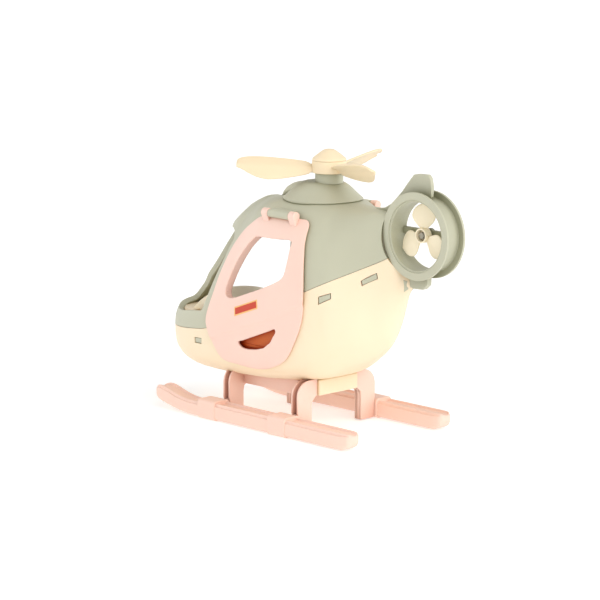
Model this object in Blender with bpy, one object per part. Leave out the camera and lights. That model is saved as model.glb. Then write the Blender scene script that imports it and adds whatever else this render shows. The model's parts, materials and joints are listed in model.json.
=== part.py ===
# Toy helicopter in moulded pastel plastic, standing on its skids.
# Metres, +X to the nose, +Y to the left side, +Z up, floor at z = 0.

import math

import bpy
import bmesh
from mathutils import Matrix, Vector

MM = 0.001
GAP = 0.3
WALL = 2.4
SLIVER = 0.01

# Driving sizes in millimetres
NOSE_X = 140.7
NOSE_Z = 61.0
WIDE_X = 25.0
HALF_WIDTH = 46.8
PLAN_POWER = 2.94
CHIN_POWER = 4.0
CHIN_X = 60.0
BELLY_Z = 31.5

MAST_X = -11.0
ROTOR_Z = 195.6
ROTOR_RADIUS = 69.0
BLADE_ANGLES = (44.0, 164.0, 284.0)

DUCT_X = -108.0
DUCT_Z = 155.6
DUCT_FLANGE_R = 32.0
DUCT_BODY_R = 27.1
DUCT_BORE_R = 25.0
DUCT_HALF = 9.5
FLANGE_THICK = 2.0

SKID_Y = 48.6
SKID_WIDTH = 15.2
SKID_HEIGHT = 13.0
SKID_CLEAR = 0.6
LEG_REAR_X = -20.0
LEG_FRONT_X = 54.8
LEG_DEPTH = 7.2
PEDESTAL_HALF = 20.4
PEDESTAL_Z = 26.7

HINGE_Y = 42.6
HINGE_Z = 163.8
HINGE_X = -3.0

# Moves that put the middle of the whole toy over the origin
CENTRE_SHIFT_X = -1.55
CENTRE_SHIFT_Y = 5.73

# Hull profile, each pair a station along X and a size there
HULL_WIDTH = [(-97, 3.5), (-92, 5), (-85, 10.5), (-75, 18.5), (-60, 31.8), (-45, 41.5), (-28, 46), (0, 46.8),
              (25, 46.8)]
HULL_MIDDLE = [(-97, 119), (-85, 113), (-75, 107), (-60, 98), (-28, 90), (25, 82), (85, 68), (125, 62)]
HULL_BOTTOM = [(-97, 116.5), (-88, 100), (-75, 69), (-60, 57.5), (-45, 49.7), (-22, 38.8), (25, 33)]
HULL_TOP = [(-97, 123), (-85, 140), (-75, 150), (-60, 158), (-50, 164), (-43, 168.6), (-33, 171.8), (-20, 173),
            (0, 173), (30, 171.2), (46, 168.5), (52, 166.8), (57, 164.7), (62, 162.6), (66, 160), (70, 157),
            (75, 152.8), (80, 146.9), (84, 141.2), (88, 135.2), (95, 126.5), (108, 110), (117, 99.5), (125, 90.5),
            (133, 80.5), (138, 73), (140, 68)]
UPPER_POWER = [(-97, 2.2), (-60, 2.0), (-45, 2.35), (-33, 2.95), (-15, 4.1), (0, 4.3), (15, 4.1), (30, 3.2),
               (45, 2.3), (57, 1.9), (70, 1.78), (90, 1.75), (108, 1.85), (120, 2.1), (128, 2.4), (135, 2.7)]
LOWER_POWER = [(-97, 1.9), (-75, 1.6), (-60, 1.95), (-45, 2.5), (-22, 3.6), (0, 4.2), (60, 4.1), (90, 4.1),
               (110, 3.65), (125, 3.2), (NOSE_X, 2.9)]
BOOM_WIDTH = [(-92, 9), (-82, 9.6), (-76, 11), (-70, 14.5), (-60, 20.5), (-45, 28), (-30, 30), (-15, 26)]
BOOM_TOP = [(-92, 168.5), (-75, 169.5), (-62, 170), (-52, 169.5), (-42, 167), (-30, 160), (-15, 150)]
BOOM_BOTTOM = [(-92, 131), (-82, 128), (-75, 124), (-60, 116), (-45, 108), (-30, 100)]
BOOM_POWER = [(-92, 4.5), (-72, 4.5), (-60, 3.0), (-45, 2.2), (-30, 2.0)]
RING_CENTRE = [(-97, 119), (-90, 125), (-80, 129), (-70, 126), (-60, 118), (-45, 106), (-28, 92), (25, 82),
               (85, 68), (125, 63), (135, 64), (NOSE_X, 64.3)]
BLEND = 9.0
BOOM_START, BOOM_END = -30.0, -90.0
HULL_STATIONS = [-97, -94, -91, -85, -79, -72, -65, -57, -50, -43, -36, -27, -14, 5, 25, 42, 54, 63, 71, 78, 84, 90,
                 98, 108, 118, 126, 132, 136, 139, 140.5]
INSIDE_STATIONS = [-96, -92, -85, -78, -66, -52, -38, -20, 10, 40, 60, 75, 88, 102, 118, 128, 135, 139.5]
SEAM = [(-160, 170), (-88, 140), (-73, 131.5), (-48, 118), (-29, 108.5), (78, 67), (110, 63), (160, 60)]

# Door outlines in side view
DOOR_OUTLINE = [(-25, 160.7), (-28.3, 157.8), (-29, 150), (-29.3, 144), (-30.5, 132.5), (-31.6, 108.4), (-30, 88.3),
                (-23.9, 73.1), (-12.3, 56.6), (4.9, 47.9), (21.3, 44.8), (41.8, 45.5), (57.1, 47.5), (66.5, 58.1),
                (72.2, 68.5), (73.8, 74.7), (71.8, 83.5), (67.6, 95), (60.9, 114.5), (53.8, 129.6), (42, 143.2),
                (27.5, 153.8), (18.3, 158.8), (4.4, 160.8)]
WINDOW_OUTLINE = [(-17.9, 145.5), (-17.4, 139.4), (-15.8, 130.5), (-12.4, 119.9), (-7.4, 115.4), (7.1, 108.8),
                  (22.6, 102.9), (43.6, 95.7), (49.4, 96.2), (51.2, 100.1), (48.4, 108), (41.4, 120.9),
                  (30.2, 135.1), (22, 142.5), (18.5, 144.6), (0, 145.2)]
SLOT_OUTLINE = [(37.1, 63.1), (-2.5, 78.3), (-3.6, 76.4), (2.5, 67.5), (10, 62.3), (18.4, 60), (27, 59), (33.9, 59.8)]
OPENING_MARGIN = 5.0
SCREEN_OUTLINE = [(60.5, 136.5), (62, 133), (67.2, 119.6), (70.6, 111.5), (75.6, 99), (79.6, 89), (82.6, 82), (85, 80.2),
                  (97, 78.6), (106, 77), (115, 75.9), (124, 75.8), (130, 77.2), (133, 80.5), (160, 90), (160, 138),
                  (89, 138), (84, 140.6), (77, 142.6), (69, 142.8), (63.5, 140.5)]
POST_HALF = 4.5
BROW_LIFT = 2.2

GREEN = (0.585, 0.590, 0.460, 1)
CREAM = (0.960, 0.850, 0.640, 1)
PINK = (0.960, 0.700, 0.570, 1)
DARK = (0.200, 0.200, 0.150, 1)
ORANGE = (0.600, 0.160, 0.020, 1)


def clear_scene():
    for old in list(bpy.data.objects):
        bpy.data.objects.remove(old, do_unlink=True)


def plastic(name, colour, roughness=0.38):
    material = bpy.data.materials.new(name)
    material.use_nodes = True
    shader = material.node_tree.nodes["Principled BSDF"]
    shader.inputs["Base Color"].default_value = colour
    shader.inputs["Roughness"].default_value = roughness
    shader.inputs["Metallic"].default_value = 0.0
    material.diffuse_color = colour
    return material


def add_object(name, mesh_builder, colour=None, pivot=(0, 0, 0)):
    """Make an object from a bmesh in millimetres, with its origin at the pivot."""
    mesh_builder.transform(Matrix.Translation(-Vector(pivot)))
    mesh_builder.transform(Matrix.Scale(MM, 4))
    bmesh.ops.recalc_face_normals(mesh_builder, faces=mesh_builder.faces)
    mesh = bpy.data.meshes.new(name)
    mesh_builder.to_mesh(mesh)
    mesh_builder.free()
    item = bpy.data.objects.new(name, mesh)
    item.location = Vector(pivot) * MM
    bpy.context.scene.collection.objects.link(item)
    if colour:
        item.data.materials.append(plastic(name + "_plastic", colour))
    return item


def combine(target, tool, operation="DIFFERENCE"):
    """Apply one exact boolean and remove the tool."""
    step = target.modifiers.new("cut", "BOOLEAN")
    step.operation = operation
    step.solver = "EXACT"
    step.object = tool
    bpy.context.view_layer.update()
    graph = bpy.context.evaluated_depsgraph_get()
    result = bpy.data.meshes.new_from_object(target.evaluated_get(graph), depsgraph=graph)
    target.modifiers.clear()
    target.data = result
    bpy.data.objects.remove(tool, do_unlink=True)
    tidy_mesh(result)
    return target


def tidy_mesh(mesh):
    """Close the slivers that a boolean leaves."""
    shape = bmesh.new()
    shape.from_mesh(mesh)
    bmesh.ops.remove_doubles(shape, verts=shape.verts, dist=SLIVER * MM)
    bmesh.ops.dissolve_degenerate(shape, edges=shape.edges, dist=SLIVER * MM)
    bmesh.ops.triangulate(shape, faces=[face for face in shape.faces if len(face.verts) > 4])
    shape.to_mesh(mesh)
    shape.free()


def drop_offcuts(item):
    """Keep only the largest connected piece of a mesh."""
    shape = bmesh.new()
    shape.from_mesh(item.data)
    left = set(shape.verts)
    pieces = []
    while left:
        front = [left.pop()]
        piece = set(front)
        while front:
            for edge in front.pop().link_edges:
                for corner in edge.verts:
                    if corner in left:
                        left.remove(corner)
                        piece.add(corner)
                        front.append(corner)
        pieces.append(piece)
    pieces.sort(key=len)
    for piece in pieces[:-1]:
        bmesh.ops.delete(shape, geom=list(piece), context="VERTS")
    shape.to_mesh(item.data)
    shape.free()


def copy_of(item, name):
    twin = item.copy()
    twin.data = item.data.copy()
    twin.name = name
    bpy.context.scene.collection.objects.link(twin)
    return twin


def mirrored(item, name):
    """Copy of an object on the right side of the toy."""
    twin = copy_of(item, name)
    twin.data.transform(Matrix.Scale(-1, 4, (0, 1, 0)))
    twin.data.flip_normals()
    twin.location.y = -twin.location.y
    return twin


# Curves and rings
def along(table, x):
    """Smooth monotone interpolation through a list of (station, size)."""
    if x <= table[0][0]:
        return table[0][1]
    if x >= table[-1][0]:
        return table[-1][1]
    slopes = [(b[1] - a[1]) / (b[0] - a[0]) for a, b in zip(table, table[1:])]

    def tangent(i):
        if i == 0 or i == len(table) - 1:
            return slopes[min(i, len(slopes) - 1)]
        left, right = slopes[i - 1], slopes[i]
        return 0 if left * right <= 0 else 2 * left * right / (left + right)

    i = max(k for k in range(len(table) - 1) if table[k][0] <= x)
    (x0, y0), (x1, y1) = table[i], table[i + 1]
    span = x1 - x0
    t = (x - x0) / span
    return ((1 + 2 * t) * (1 - t) ** 2 * y0 + t * (1 - t) ** 2 * span * tangent(i)
            + t * t * (3 - 2 * t) * y1 + t * t * (t - 1) * span * tangent(i + 1))


def hull_half_width(x):
    if x <= WIDE_X:
        return along(HULL_WIDTH, x)
    share = (x - WIDE_X) / (NOSE_X - WIDE_X)
    return HALF_WIDTH * max(0.0, 1 - share ** PLAN_POWER) ** (1 / PLAN_POWER)


def hull_bottom(x):
    if x <= WIDE_X:
        return along(HULL_BOTTOM, x)
    if x <= CHIN_X:
        return HULL_BOTTOM[-1][1] + (BELLY_Z - HULL_BOTTOM[-1][1]) * (x - WIDE_X) / (CHIN_X - WIDE_X)
    share = min((x - CHIN_X) / (NOSE_X - CHIN_X), 1.0)
    return NOSE_Z - (NOSE_Z - BELLY_Z) * max(0.0, 1 - share ** CHIN_POWER) ** (1 / CHIN_POWER)


def depth_in(y, z, half, middle, up, down, power_up, power_down):
    """Depth in a rounded section, below zero inside."""
    height, power = (up, power_up) if z >= middle else (down, power_down)
    level = (abs(y / half) ** power + abs((z - middle) / height) ** power) ** (1 / power) - 1
    return level * min(half, height)


def share_of(value, span):
    return min(max(value, 0.0), span)


def skin_level(x):
    """Function of (y, z) at one station, below zero inside the hull and the boom that flows into it."""
    middle = along(HULL_MIDDLE, x)
    up, down = max(along(HULL_TOP, x) - middle, 0.4), max(middle - hull_bottom(x), 0.4)
    half, powers = max(hull_half_width(x), 0.5), (along(UPPER_POWER, x), along(LOWER_POWER, x))
    boom_low = along(BOOM_BOTTOM, x)
    boom_up = (along(BOOM_TOP, x) - boom_low) / 2
    boom_half, boom_power = along(BOOM_WIDTH, x), along(BOOM_POWER, x)
    boom_end = share_of(x - BOOM_START, 40) + 3 * share_of(BOOM_END - x, 20)

    def level(y, z):
        hull = depth_in(y, z, half, middle, up, down, *powers)
        boom = depth_in(y, z, boom_half, boom_low + boom_up, boom_up, boom_up, boom_power, 3.0) + boom_end
        near = max(0.0, 1 - abs(hull - boom) / BLEND)
        return min(hull, boom) - near ** 2 * BLEND / 4

    return level


def hull_ring(x, grow, count=40):
    """Section of the fuselage at x, pushed outward by grow."""
    flat = x * NOSE_X / (NOSE_X + grow) if x > WIDE_X else x
    flat = min(flat, NOSE_X - 0.01)
    level, centre = skin_level(flat), along(RING_CENTRE, flat)
    ring = []
    for k in range(count):
        angle = 2 * math.pi * k / count
        side, rise = math.cos(angle), math.sin(angle)
        low, high = 0.0, 140.0
        for _ in range(16):
            reach = (low + high) / 2
            if level(reach * side, centre + reach * rise) < 0:
                low = reach
            else:
                high = reach
        reach = max(low + grow, 0.4)
        ring.append(Vector((x, reach * side, centre + reach * rise)))
    return ring


def loft(rings):
    """Closed body through rings of equal point count."""
    shape = bmesh.new()
    rows = [[shape.verts.new(p) for p in ring] for ring in rings]
    count = len(rows[0])
    for a, b in zip(rows, rows[1:]):
        for k in range(count):
            shape.faces.new((a[k], a[(k + 1) % count], b[(k + 1) % count], b[k]))
    shape.faces.new(rows[0])
    shape.faces.new(rows[-1])
    return shape


def prism(outline, low, high, axis="Y"):
    """Straight body over an outline. Axis Y takes (x, z) points, X takes (y, z), Z takes (x, y)."""
    place = {"Y": lambda a, b, d: (a, d, b), "X": lambda a, b, d: (d, a, b), "Z": lambda a, b, d: (a, b, d)}[axis]
    return loft([[Vector(place(a, b, level)) for a, b in outline] for level in (low, high)])


def box(x0, x1, y0, y1, z0, z1):
    return prism([(x0, z0), (x1, z0), (x1, z1), (x0, z1)], y0, y1)


def disc(radius, low, high, centre, axis, sides=32):
    circle = [(centre[0] + radius * math.cos(2 * math.pi * k / sides),
               centre[1] + radius * math.sin(2 * math.pi * k / sides)) for k in range(sides)]
    return prism(circle, low, high, axis)


def turned(profile, sides, centre, axis="Z"):
    """Turned body along an open profile of (radius, level), with a flat face at each end."""
    rings = []
    for radius, level in profile:
        circle = [(centre[0] + radius * math.cos(2 * math.pi * k / sides),
                   centre[1] + radius * math.sin(2 * math.pi * k / sides)) for k in range(sides)]
        rings.append([Vector((a, level, b) if axis == "Y" else (a, b, level)) for a, b in circle])
    return loft(rings)


def lathe(profile, sides, centre, axis):
    """Turned ring. Profile is a closed list of (radius, level) that stays off the axis."""
    shape = bmesh.new()
    rows = []
    for k in range(sides):
        angle = 2 * math.pi * k / sides
        row = []
        for radius, level in profile:
            a = centre[0] + radius * math.cos(angle)
            b = centre[1] + radius * math.sin(angle)
            row.append(shape.verts.new((a, level, b) if axis == "Y" else (a, b, level)))
        rows.append(row)
    count = len(profile)
    for k in range(sides):
        a, b = rows[k], rows[(k + 1) % sides]
        for i in range(count):
            j = (i + 1) % count
            shape.faces.new((a[i], a[j], b[j], b[i]))
    return shape


def shrunk(outline, margin):
    """Outline moved inward by a margin, corner by corner."""
    count = len(outline)
    area = sum(outline[k - 1][0] * outline[k][1] - outline[k][0] * outline[k - 1][1] for k in range(count))
    sign = 1 if area > 0 else -1
    moved = []
    for k in range(count):
        before, here, after = (Vector(outline[i % count]) for i in (k - 1, k, k + 1))
        run_in = (here - before).normalized()
        run_out = (after - here).normalized()
        normal_in = Vector((-run_in.y, run_in.x)) * sign
        normal_out = Vector((-run_out.y, run_out.x)) * sign
        mean = (normal_in + normal_out).normalized()
        moved.append(tuple(here + mean * margin / max(mean.dot(normal_in), 0.5)))
    return moved


def fuselage(grow, name, stations=HULL_STATIONS, count=40):
    """Hull and boom in one body, pushed outward by grow."""
    return add_object(name, loft([hull_ring(x if x < 130 else x + grow, grow, count) for x in stations]))


def seam_tool(name, above):
    """Everything above or below the joint line of the two shells, with half the gap kept."""
    edge = [(x, z - (GAP if above else -GAP) / 2) for x, z in SEAM]
    far = 260 if above else -40
    outline = edge + [(edge[-1][0], far), (edge[0][0], far)]
    return add_object(name, prism(outline, -90, 90))


# Shells
def cut_for_duct(shell):
    combine(shell, add_object("duct_tool", disc(DUCT_BODY_R + GAP, -60, 60, (DUCT_X, DUCT_Z), "Y", 48)))
    for side in (-1, 1):
        near, far = sorted((side * (DUCT_HALF - FLANGE_THICK - GAP), side * 60))
        tool = disc(DUCT_FLANGE_R + GAP, near, far, (DUCT_X, DUCT_Z), "Y", 48)
        combine(shell, add_object("flange_tool", tool))


def cut_doorways(shell):
    outline = shrunk(DOOR_OUTLINE, OPENING_MARGIN)
    for near, far in ((20, 80), (-80, -20)):
        combine(shell, add_object("doorway_tool", prism(outline, near, far)))


def windscreen_tools():
    """Openings on both sides of a centre post."""
    spans = ((POST_HALF, 70), (-70, -POST_HALF))
    return [add_object("windscreen_tool", prism(SCREEN_OUTLINE, low, high)) for low, high in spans]


def build_brow():
    """Lip over the windscreen that runs back along the roof."""
    lip = fuselage(BROW_LIFT, "brow")
    area = [(44, 176), (44, 168), (60, 150), (66, 144), (72, 142), (79, 141), (84, 139.4), (100, 139), (100, 176)]
    combine(lip, add_object("brow_area", prism(area, -60, 60)), "INTERSECT")
    combine(lip, fuselage(-WALL + 0.8, "brow_inside"))
    combine(lip, add_object("door_room", prism(shrunk(DOOR_OUTLINE, -1.2), -90, 90)))
    drop_offcuts(lip)
    return lip


def build_shells():
    outer = fuselage(0.0, "outer")
    inner = fuselage(-WALL, "inner", INSIDE_STATIONS, 28)

    upper = combine(copy_of(outer, "upper_shell"), copy_of(inner, "cavity"))
    combine(upper, seam_tool("seam_low", False))
    cut_for_duct(upper)
    cut_doorways(upper)
    for tool in windscreen_tools():
        combine(upper, tool)
    combine(upper, build_brow(), "UNION")
    drop_offcuts(upper)

    lower = outer
    lower.name = "lower_shell"
    pedestal = box(LEG_REAR_X - 2.1, LEG_FRONT_X + LEG_DEPTH + 2.3, -PEDESTAL_HALF, PEDESTAL_HALF, PEDESTAL_Z, 46)
    combine(lower, add_object("pedestal", pedestal), "UNION")
    combine(lower, inner)
    hollow = box(LEG_REAR_X + 1, LEG_FRONT_X + LEG_DEPTH - 1, -PEDESTAL_HALF + 3, PEDESTAL_HALF - 3,
                 PEDESTAL_Z + WALL, 45)
    combine(lower, add_object("pedestal_hollow", hollow))
    combine(lower, seam_tool("seam_high", True))
    cut_for_duct(lower)
    cut_doorways(lower)
    for x, y, z, tilt in CLIP_SPOTS:
        for side in (1, -1):
            combine(lower, add_object("slot_tool", clip_block(x, side * y, z, side * tilt, GAP)))
    drop_offcuts(lower)
    upper.data.materials.append(plastic("upper_shell_plastic", GREEN))
    lower.data.materials.append(plastic("lower_shell_plastic", CREAM))
    return upper, lower


# Snap clips that show in the slots of the lower shell
CLIP_SPOTS = [(87, 44, 56.5, 24), (-48, 40, 105, -36), (-74, 21.3, 123.5, -48)]
CLIP_LENGTH, CLIP_HEIGHT, CLIP_DEPTH = 9.5, 4.6, 3.0


def clip_block(x, y, z, turn, grow):
    half, tall, deep = CLIP_LENGTH / 2 + grow, CLIP_HEIGHT / 2 + grow, CLIP_DEPTH / 2 + 6 * (grow > 0)
    shape = box(-half, half, -deep, deep, -tall, tall)
    shape.transform(Matrix.Translation((x, y, z)) @ Matrix.Rotation(math.radians(-turn), 4, "Z"))
    return shape


def build_clips():
    for number, (x, y, z, turn) in enumerate(CLIP_SPOTS):
        for side, word in ((1, "left"), (-1, "right")):
            place = ("front", "middle", "rear")[number]
            add_object(f"snap_clip_{place}_{word}", clip_block(x, side * y, z, side * turn, 0.0), GREEN)


# Roof
def build_roof():
    profile = [(31.0, 160), (31.0, 172.3), (28.6, 176.6), (24.4, 180.8), (20.0, 183.8), (15.6, 185.6), (11.6, 186.3)]
    rings = []
    for radius, level in profile:
        ring = []
        for k in range(32):
            angle = 2 * math.pi * k / 32
            ring.append(Vector((-4.5 + radius * math.cos(angle), radius * 0.94 * math.sin(angle), level)))
        rings.append(ring)
    dome = add_object("roof_dome", loft(rings), GREEN)
    scoop = [[Vector((x, 7.5 * math.cos(a) * w, z + 4.0 * math.sin(a) * w))
              for a in (2 * math.pi * k / 12 for k in range(12))]
             for x, z, w in ((4, 181, 0.6), (10, 181.2, 1.0), (16, 180.5, 1.0), (21, 178.6, 0.8), (23, 177.4, 0.4))]
    combine(dome, add_object("scoop", loft(scoop)), "UNION")
    combine(dome, fuselage(2 * GAP, "roof_tool"))

    profile = [(10.5, 186.6), (10.5, 190.2), (3.0, 190.2), (3.0, 200.5)]
    add_object("mast_collar", turned(profile, 24, (MAST_X, 0)), GREEN)


# Tail
def build_tail():
    end, web = DUCT_HALF, DUCT_HALF - FLANGE_THICK
    profile = [(DUCT_BORE_R + 0.8, end), (DUCT_FLANGE_R - 0.7, end), (DUCT_FLANGE_R, end - 0.7), (DUCT_FLANGE_R, web),
               (DUCT_BODY_R, web), (DUCT_BODY_R, -web), (DUCT_FLANGE_R, -web), (DUCT_FLANGE_R, -end + 0.7),
               (DUCT_FLANGE_R - 0.7, -end), (DUCT_BORE_R + 0.8, -end), (DUCT_BORE_R, -end + 0.8),
               (DUCT_BORE_R, end - 0.8)]
    duct = add_object("tail_duct", lathe(profile, 48, (DUCT_X, DUCT_Z), "Y"), GREEN)
    bar = box(DUCT_X - DUCT_BORE_R - 1, DUCT_X + DUCT_BORE_R + 1, -8.2, -4.8, DUCT_Z - 1.6, DUCT_Z + 3.4)
    combine(duct, add_object("bar", bar), "UNION")
    combine(duct, add_object("boss", disc(4.6, -8.2, -3.6, (DUCT_X, DUCT_Z), "Y", 20)), "UNION")
    combine(duct, add_object("axle_hole", disc(2.6 + GAP, -12, 0, (DUCT_X, DUCT_Z), "Y", 20)))
    axle = disc(2.6, -8.2, 2.4, (DUCT_X, DUCT_Z), "Y", 20)
    add_object("tail_axle", axle, DARK)

    top = [(-60, 168), (-62, 170.8), (-69.7, 172), (-77, 175.9), (-82.2, 180.8), (-87.5, 186), (-92.8, 192.3),
           (-97.5, 198.2), (-100, 199.4), (-112, 200), (-115.2, 197.8), (-116.4, 191.5), (-116, 181), (-116, 168)]
    fin = add_object("top_fin", prism(top, -1.6, 1.6), GREEN)
    combine(fin, add_object("duct_seat", disc(DUCT_BODY_R + GAP, -9, 9, (DUCT_X, DUCT_Z), "Y", 48)))
    combine(fin, fuselage(GAP, "boom_seat"))

    bottom = [(-94, 128), (-96.9, 117.5), (-100.4, 115.8), (-109.9, 116.2), (-114.1, 119.5), (-114.4, 132)]
    fin = add_object("bottom_fin", prism(bottom, -2.4, 2.4), GREEN)
    combine(fin, add_object("duct_seat", disc(DUCT_BODY_R + GAP, -9, 9, (DUCT_X, DUCT_Z), "Y", 48)))
    combine(fin, fuselage(GAP, "hull_seat"))


def build_tail_rotor():
    hub = [(5.9, -2.8), (5.9, 3.6), (4.3, 3.6), (4.3, 0.6), (2.6 + GAP, 0.6), (2.6 + GAP, -2.8)]
    rotor = add_object("tail_rotor", lathe(hub, 20, (DUCT_X, DUCT_Z), "Y"), CREAM, (DUCT_X, 0, DUCT_Z))
    leaf = [(4.9, 2.6), (7.5, 4.0), (10.5, 6.6), (14, 8.2), (17.5, 8.0), (20.6, 6.0), (22.6, 3.0), (23.2, 0.0)]
    outline = leaf + [(r, -w) for r, w in reversed(leaf[:-1])]
    for angle in (86, 206, 326):
        blade = prism([(w, r) for r, w in outline], -0.8, 0.8)
        blade.transform(Matrix.Rotation(math.radians(24), 4, "Z"))
        blade.transform(Matrix.Rotation(math.radians(90 - angle), 4, "Y"))
        blade.transform(Matrix.Translation((DUCT_X, 0.4, DUCT_Z)))
        combine(rotor, add_object("blade", blade, None, (0, 0, 0)), "UNION")
    return rotor


# Main rotor
def blade_rings():
    """Pitched blade along +X from the hub, its two panels meeting at a fold line."""
    table = [(8, 5.6, 5.6, 30), (14, 6.0, 6.2, 34), (18, 7.2, 7.6, 38), (28, 8.4, 10.4, 40), (40, 9.4, 13.4, 40),
             (50, 9.8, 13.2, 40), (58, 9.6, 9.6, 40), (64, 9.2, 5.4, 40), (67.6, 7.4, 1.8, 40),
             (ROTOR_RADIUS, 5.4, -1.2, 40)]
    thick, sag = 0.9, 1.1
    rings = []
    for reach, high, low, pitch in table:
        turn = Matrix.Rotation(math.radians(-pitch), 4, "X")
        section = [(-high, -sag, -thick), (-high, -sag, thick), (0, 0, thick), (low, -sag, thick),
                   (low, -sag, -thick), (0, 0, -thick)]
        rings.append([turn @ Vector((reach, across, lift + side)) for across, lift, side in section])
    return rings


def build_main_rotor():
    top, bottom = ROTOR_Z + 5.3, ROTOR_Z - 5.0
    profile = [(12.2, bottom), (12.8, bottom + 0.8), (12.8, top), (3.3, top), (3.3, bottom)]
    rotor = add_object("main_rotor", lathe(profile, 28, (MAST_X, 0), "Z"), CREAM, (MAST_X, 0, ROTOR_Z))
    for angle in BLADE_ANGLES:
        blade = loft(blade_rings())
        blade.transform(Matrix.Rotation(math.radians(angle), 4, "Z"))
        blade.transform(Matrix.Translation((MAST_X, 0, ROTOR_Z)))
        combine(rotor, add_object("blade", blade), "UNION")
    combine(rotor, add_object("cap_room", disc(13.4, top - 0.01, 215, (MAST_X, 0), "Z", 28)))

    base = top + GAP
    profile = [(4.0, base + 2), (4.0, base), (12.4, base), (12.4, base + 1.2), (11.5, base + 3.3), (9.4, base + 5.5),
               (6.4, base + 7.2), (2.4, base + 8.1)]
    add_object("rotor_cap", turned(profile, 24, (MAST_X, 0)), CREAM, (MAST_X, 0, ROTOR_Z))


# Doors
def build_door():
    panel = fuselage(2.7, "door_left")
    combine(panel, fuselage(0.6, "door_bed"))
    combine(panel, add_object("door_area", prism(DOOR_OUTLINE, 15, 90)), "INTERSECT")
    combine(panel, add_object("window", prism(WINDOW_OUTLINE, 10, 95)))
    combine(panel, add_object("slot", prism(SLOT_OUTLINE, 10, 95)))
    combine(panel, add_object("block_room", disc(3.9, HINGE_X - 11.6, HINGE_X + 11.6, (HINGE_Y, HINGE_Z), "X", 24)))
    for middle in (HINGE_X - 14.2, HINGE_X + 14.2):
        ear = [(HINGE_Y + 3.4 * math.cos(a), HINGE_Z + 3.4 * math.sin(a))
               for a in (math.radians(d) for d in range(-30, 211, 20))]
        ear += [(HINGE_Y - 2.2, 158.0), (HINGE_Y + 3.2, 157.0)]
        combine(panel, add_object("ear", prism(ear, middle - 3, middle + 3, "X")), "UNION")
    combine(panel, add_object("pin_hole", disc(1.5 + GAP, -60, 60, (HINGE_Y, HINGE_Z), "X", 24)))
    combine(panel, fuselage(0.35, "hull_clearance"))
    for corner in panel.data.vertices:
        corner.co -= Vector((HINGE_X, HINGE_Y, HINGE_Z)) * MM
    panel.location = Vector((HINGE_X, HINGE_Y, HINGE_Z)) * MM
    panel.data.materials.clear()
    panel.data.materials.append(plastic("door_plastic", PINK))
    return panel


def build_hinge():
    half = 14.2 - 3 - GAP
    bracket = [(HINGE_Y + 3.2 * math.cos(a), HINGE_Z + 3.2 * math.sin(a))
               for a in (math.radians(d) for d in range(-139, 122, 20))]
    bracket += [(HINGE_Y - 7, HINGE_Z + 3), (HINGE_Y - 7, HINGE_Z - 2.1)]
    block = add_object("hinge_block_left", prism(bracket, HINGE_X - half, HINGE_X + half, "X"), GREEN)
    pin = disc(1.5, HINGE_X - 17, HINGE_X + 17, (HINGE_Y, HINGE_Z), "X", 24)
    combine(block, add_object("pin", pin), "UNION")
    combine(block, fuselage(GAP, "roof_seat"))
    return block


# Undercarriage
def build_leg(x0):
    arc = [(28.8 + 12 * math.sin(math.radians(d)), 27.5 + 12 * math.cos(math.radians(d))) for d in range(0, 91, 15)]
    profile = [(PEDESTAL_HALF + GAP, 39.5)] + arc + [(40.8, 16), (40.1, 14), (40.1, 1.0), (26, 1.0), (26, 20),
                                                     (25.2, 23.5), (PEDESTAL_HALF + GAP, 27.6)]
    leg = add_object("leg", prism(profile, x0, x0 + LEG_DEPTH, "X"), PINK)
    inner_arc = [(28.8 + 7.5 * math.sin(math.radians(d)), 27.5 + 7.5 * math.cos(math.radians(d)))
                 for d in range(0, 91, 15)]
    recess = [(24, 50), (24, 35)] + inner_arc + [(36.3, 15), (50, 15), (50, 50)]
    combine(leg, add_object("recess", prism(recess, x0 + 1.5, x0 + LEG_DEPTH - 1.5, "X")))
    combine(leg, fuselage(GAP, "belly_seat"))
    return leg


def rounded_box_ring(half_y, half_z, radius, count=4):
    corners = []
    for cy, cz, start in ((1, 1, 0), (-1, 1, 90), (-1, -1, 180), (1, -1, 270)):
        for k in range(count):
            angle = math.radians(start + 90 * k / (count - 1))
            corners.append((cy * (half_y - radius) + radius * math.cos(angle),
                            cz * (half_z - radius) + radius * math.sin(angle)))
    return corners


def build_skid():
    half_y, half_z = SKID_WIDTH / 2, SKID_HEIGHT / 2
    level = SKID_CLEAR + half_z
    path = [(-87, level + 2.5, 0.45, 0.42), (-86, level + 1.8, 0.7, 0.68), (-83, level + 0.8, 0.9, 0.88),
            (-78, level, 1, 1), (70, level, 1, 1), (82, level + 0.3, 1, 1), (92, level + 1.0, 1, 1.02),
            (101, level + 2.3, 1, 1.05), (109, level + 4.0, 1, 1.08), (116, level + 5.4, 1, 1.06),
            (121, level + 6.0, 0.92, 0.9), (124, level + 6.0, 0.74, 0.66), (125.3, level + 5.8, 0.5, 0.4)]
    rings = []
    for x, z, wide, tall in path:
        ring = rounded_box_ring(half_y * wide, half_z * tall, 3.0 * min(wide, tall))
        rings.append([Vector((x, SKID_Y + y, z + dz)) for y, dz in ring])
    skid = add_object("skid_left", loft(rings), PINK)
    for x0 in (LEG_REAR_X - 2, LEG_FRONT_X + 0.4):
        band = rounded_box_ring(half_y + 0.6, 7.5, 3.0)
        rings = [[Vector((x, SKID_Y + y, 7.5 + z)) for y, z in band] for x in (x0, x0 + 18.6)]
        combine(skid, add_object("band", loft(rings)), "UNION")
    return skid


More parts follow.
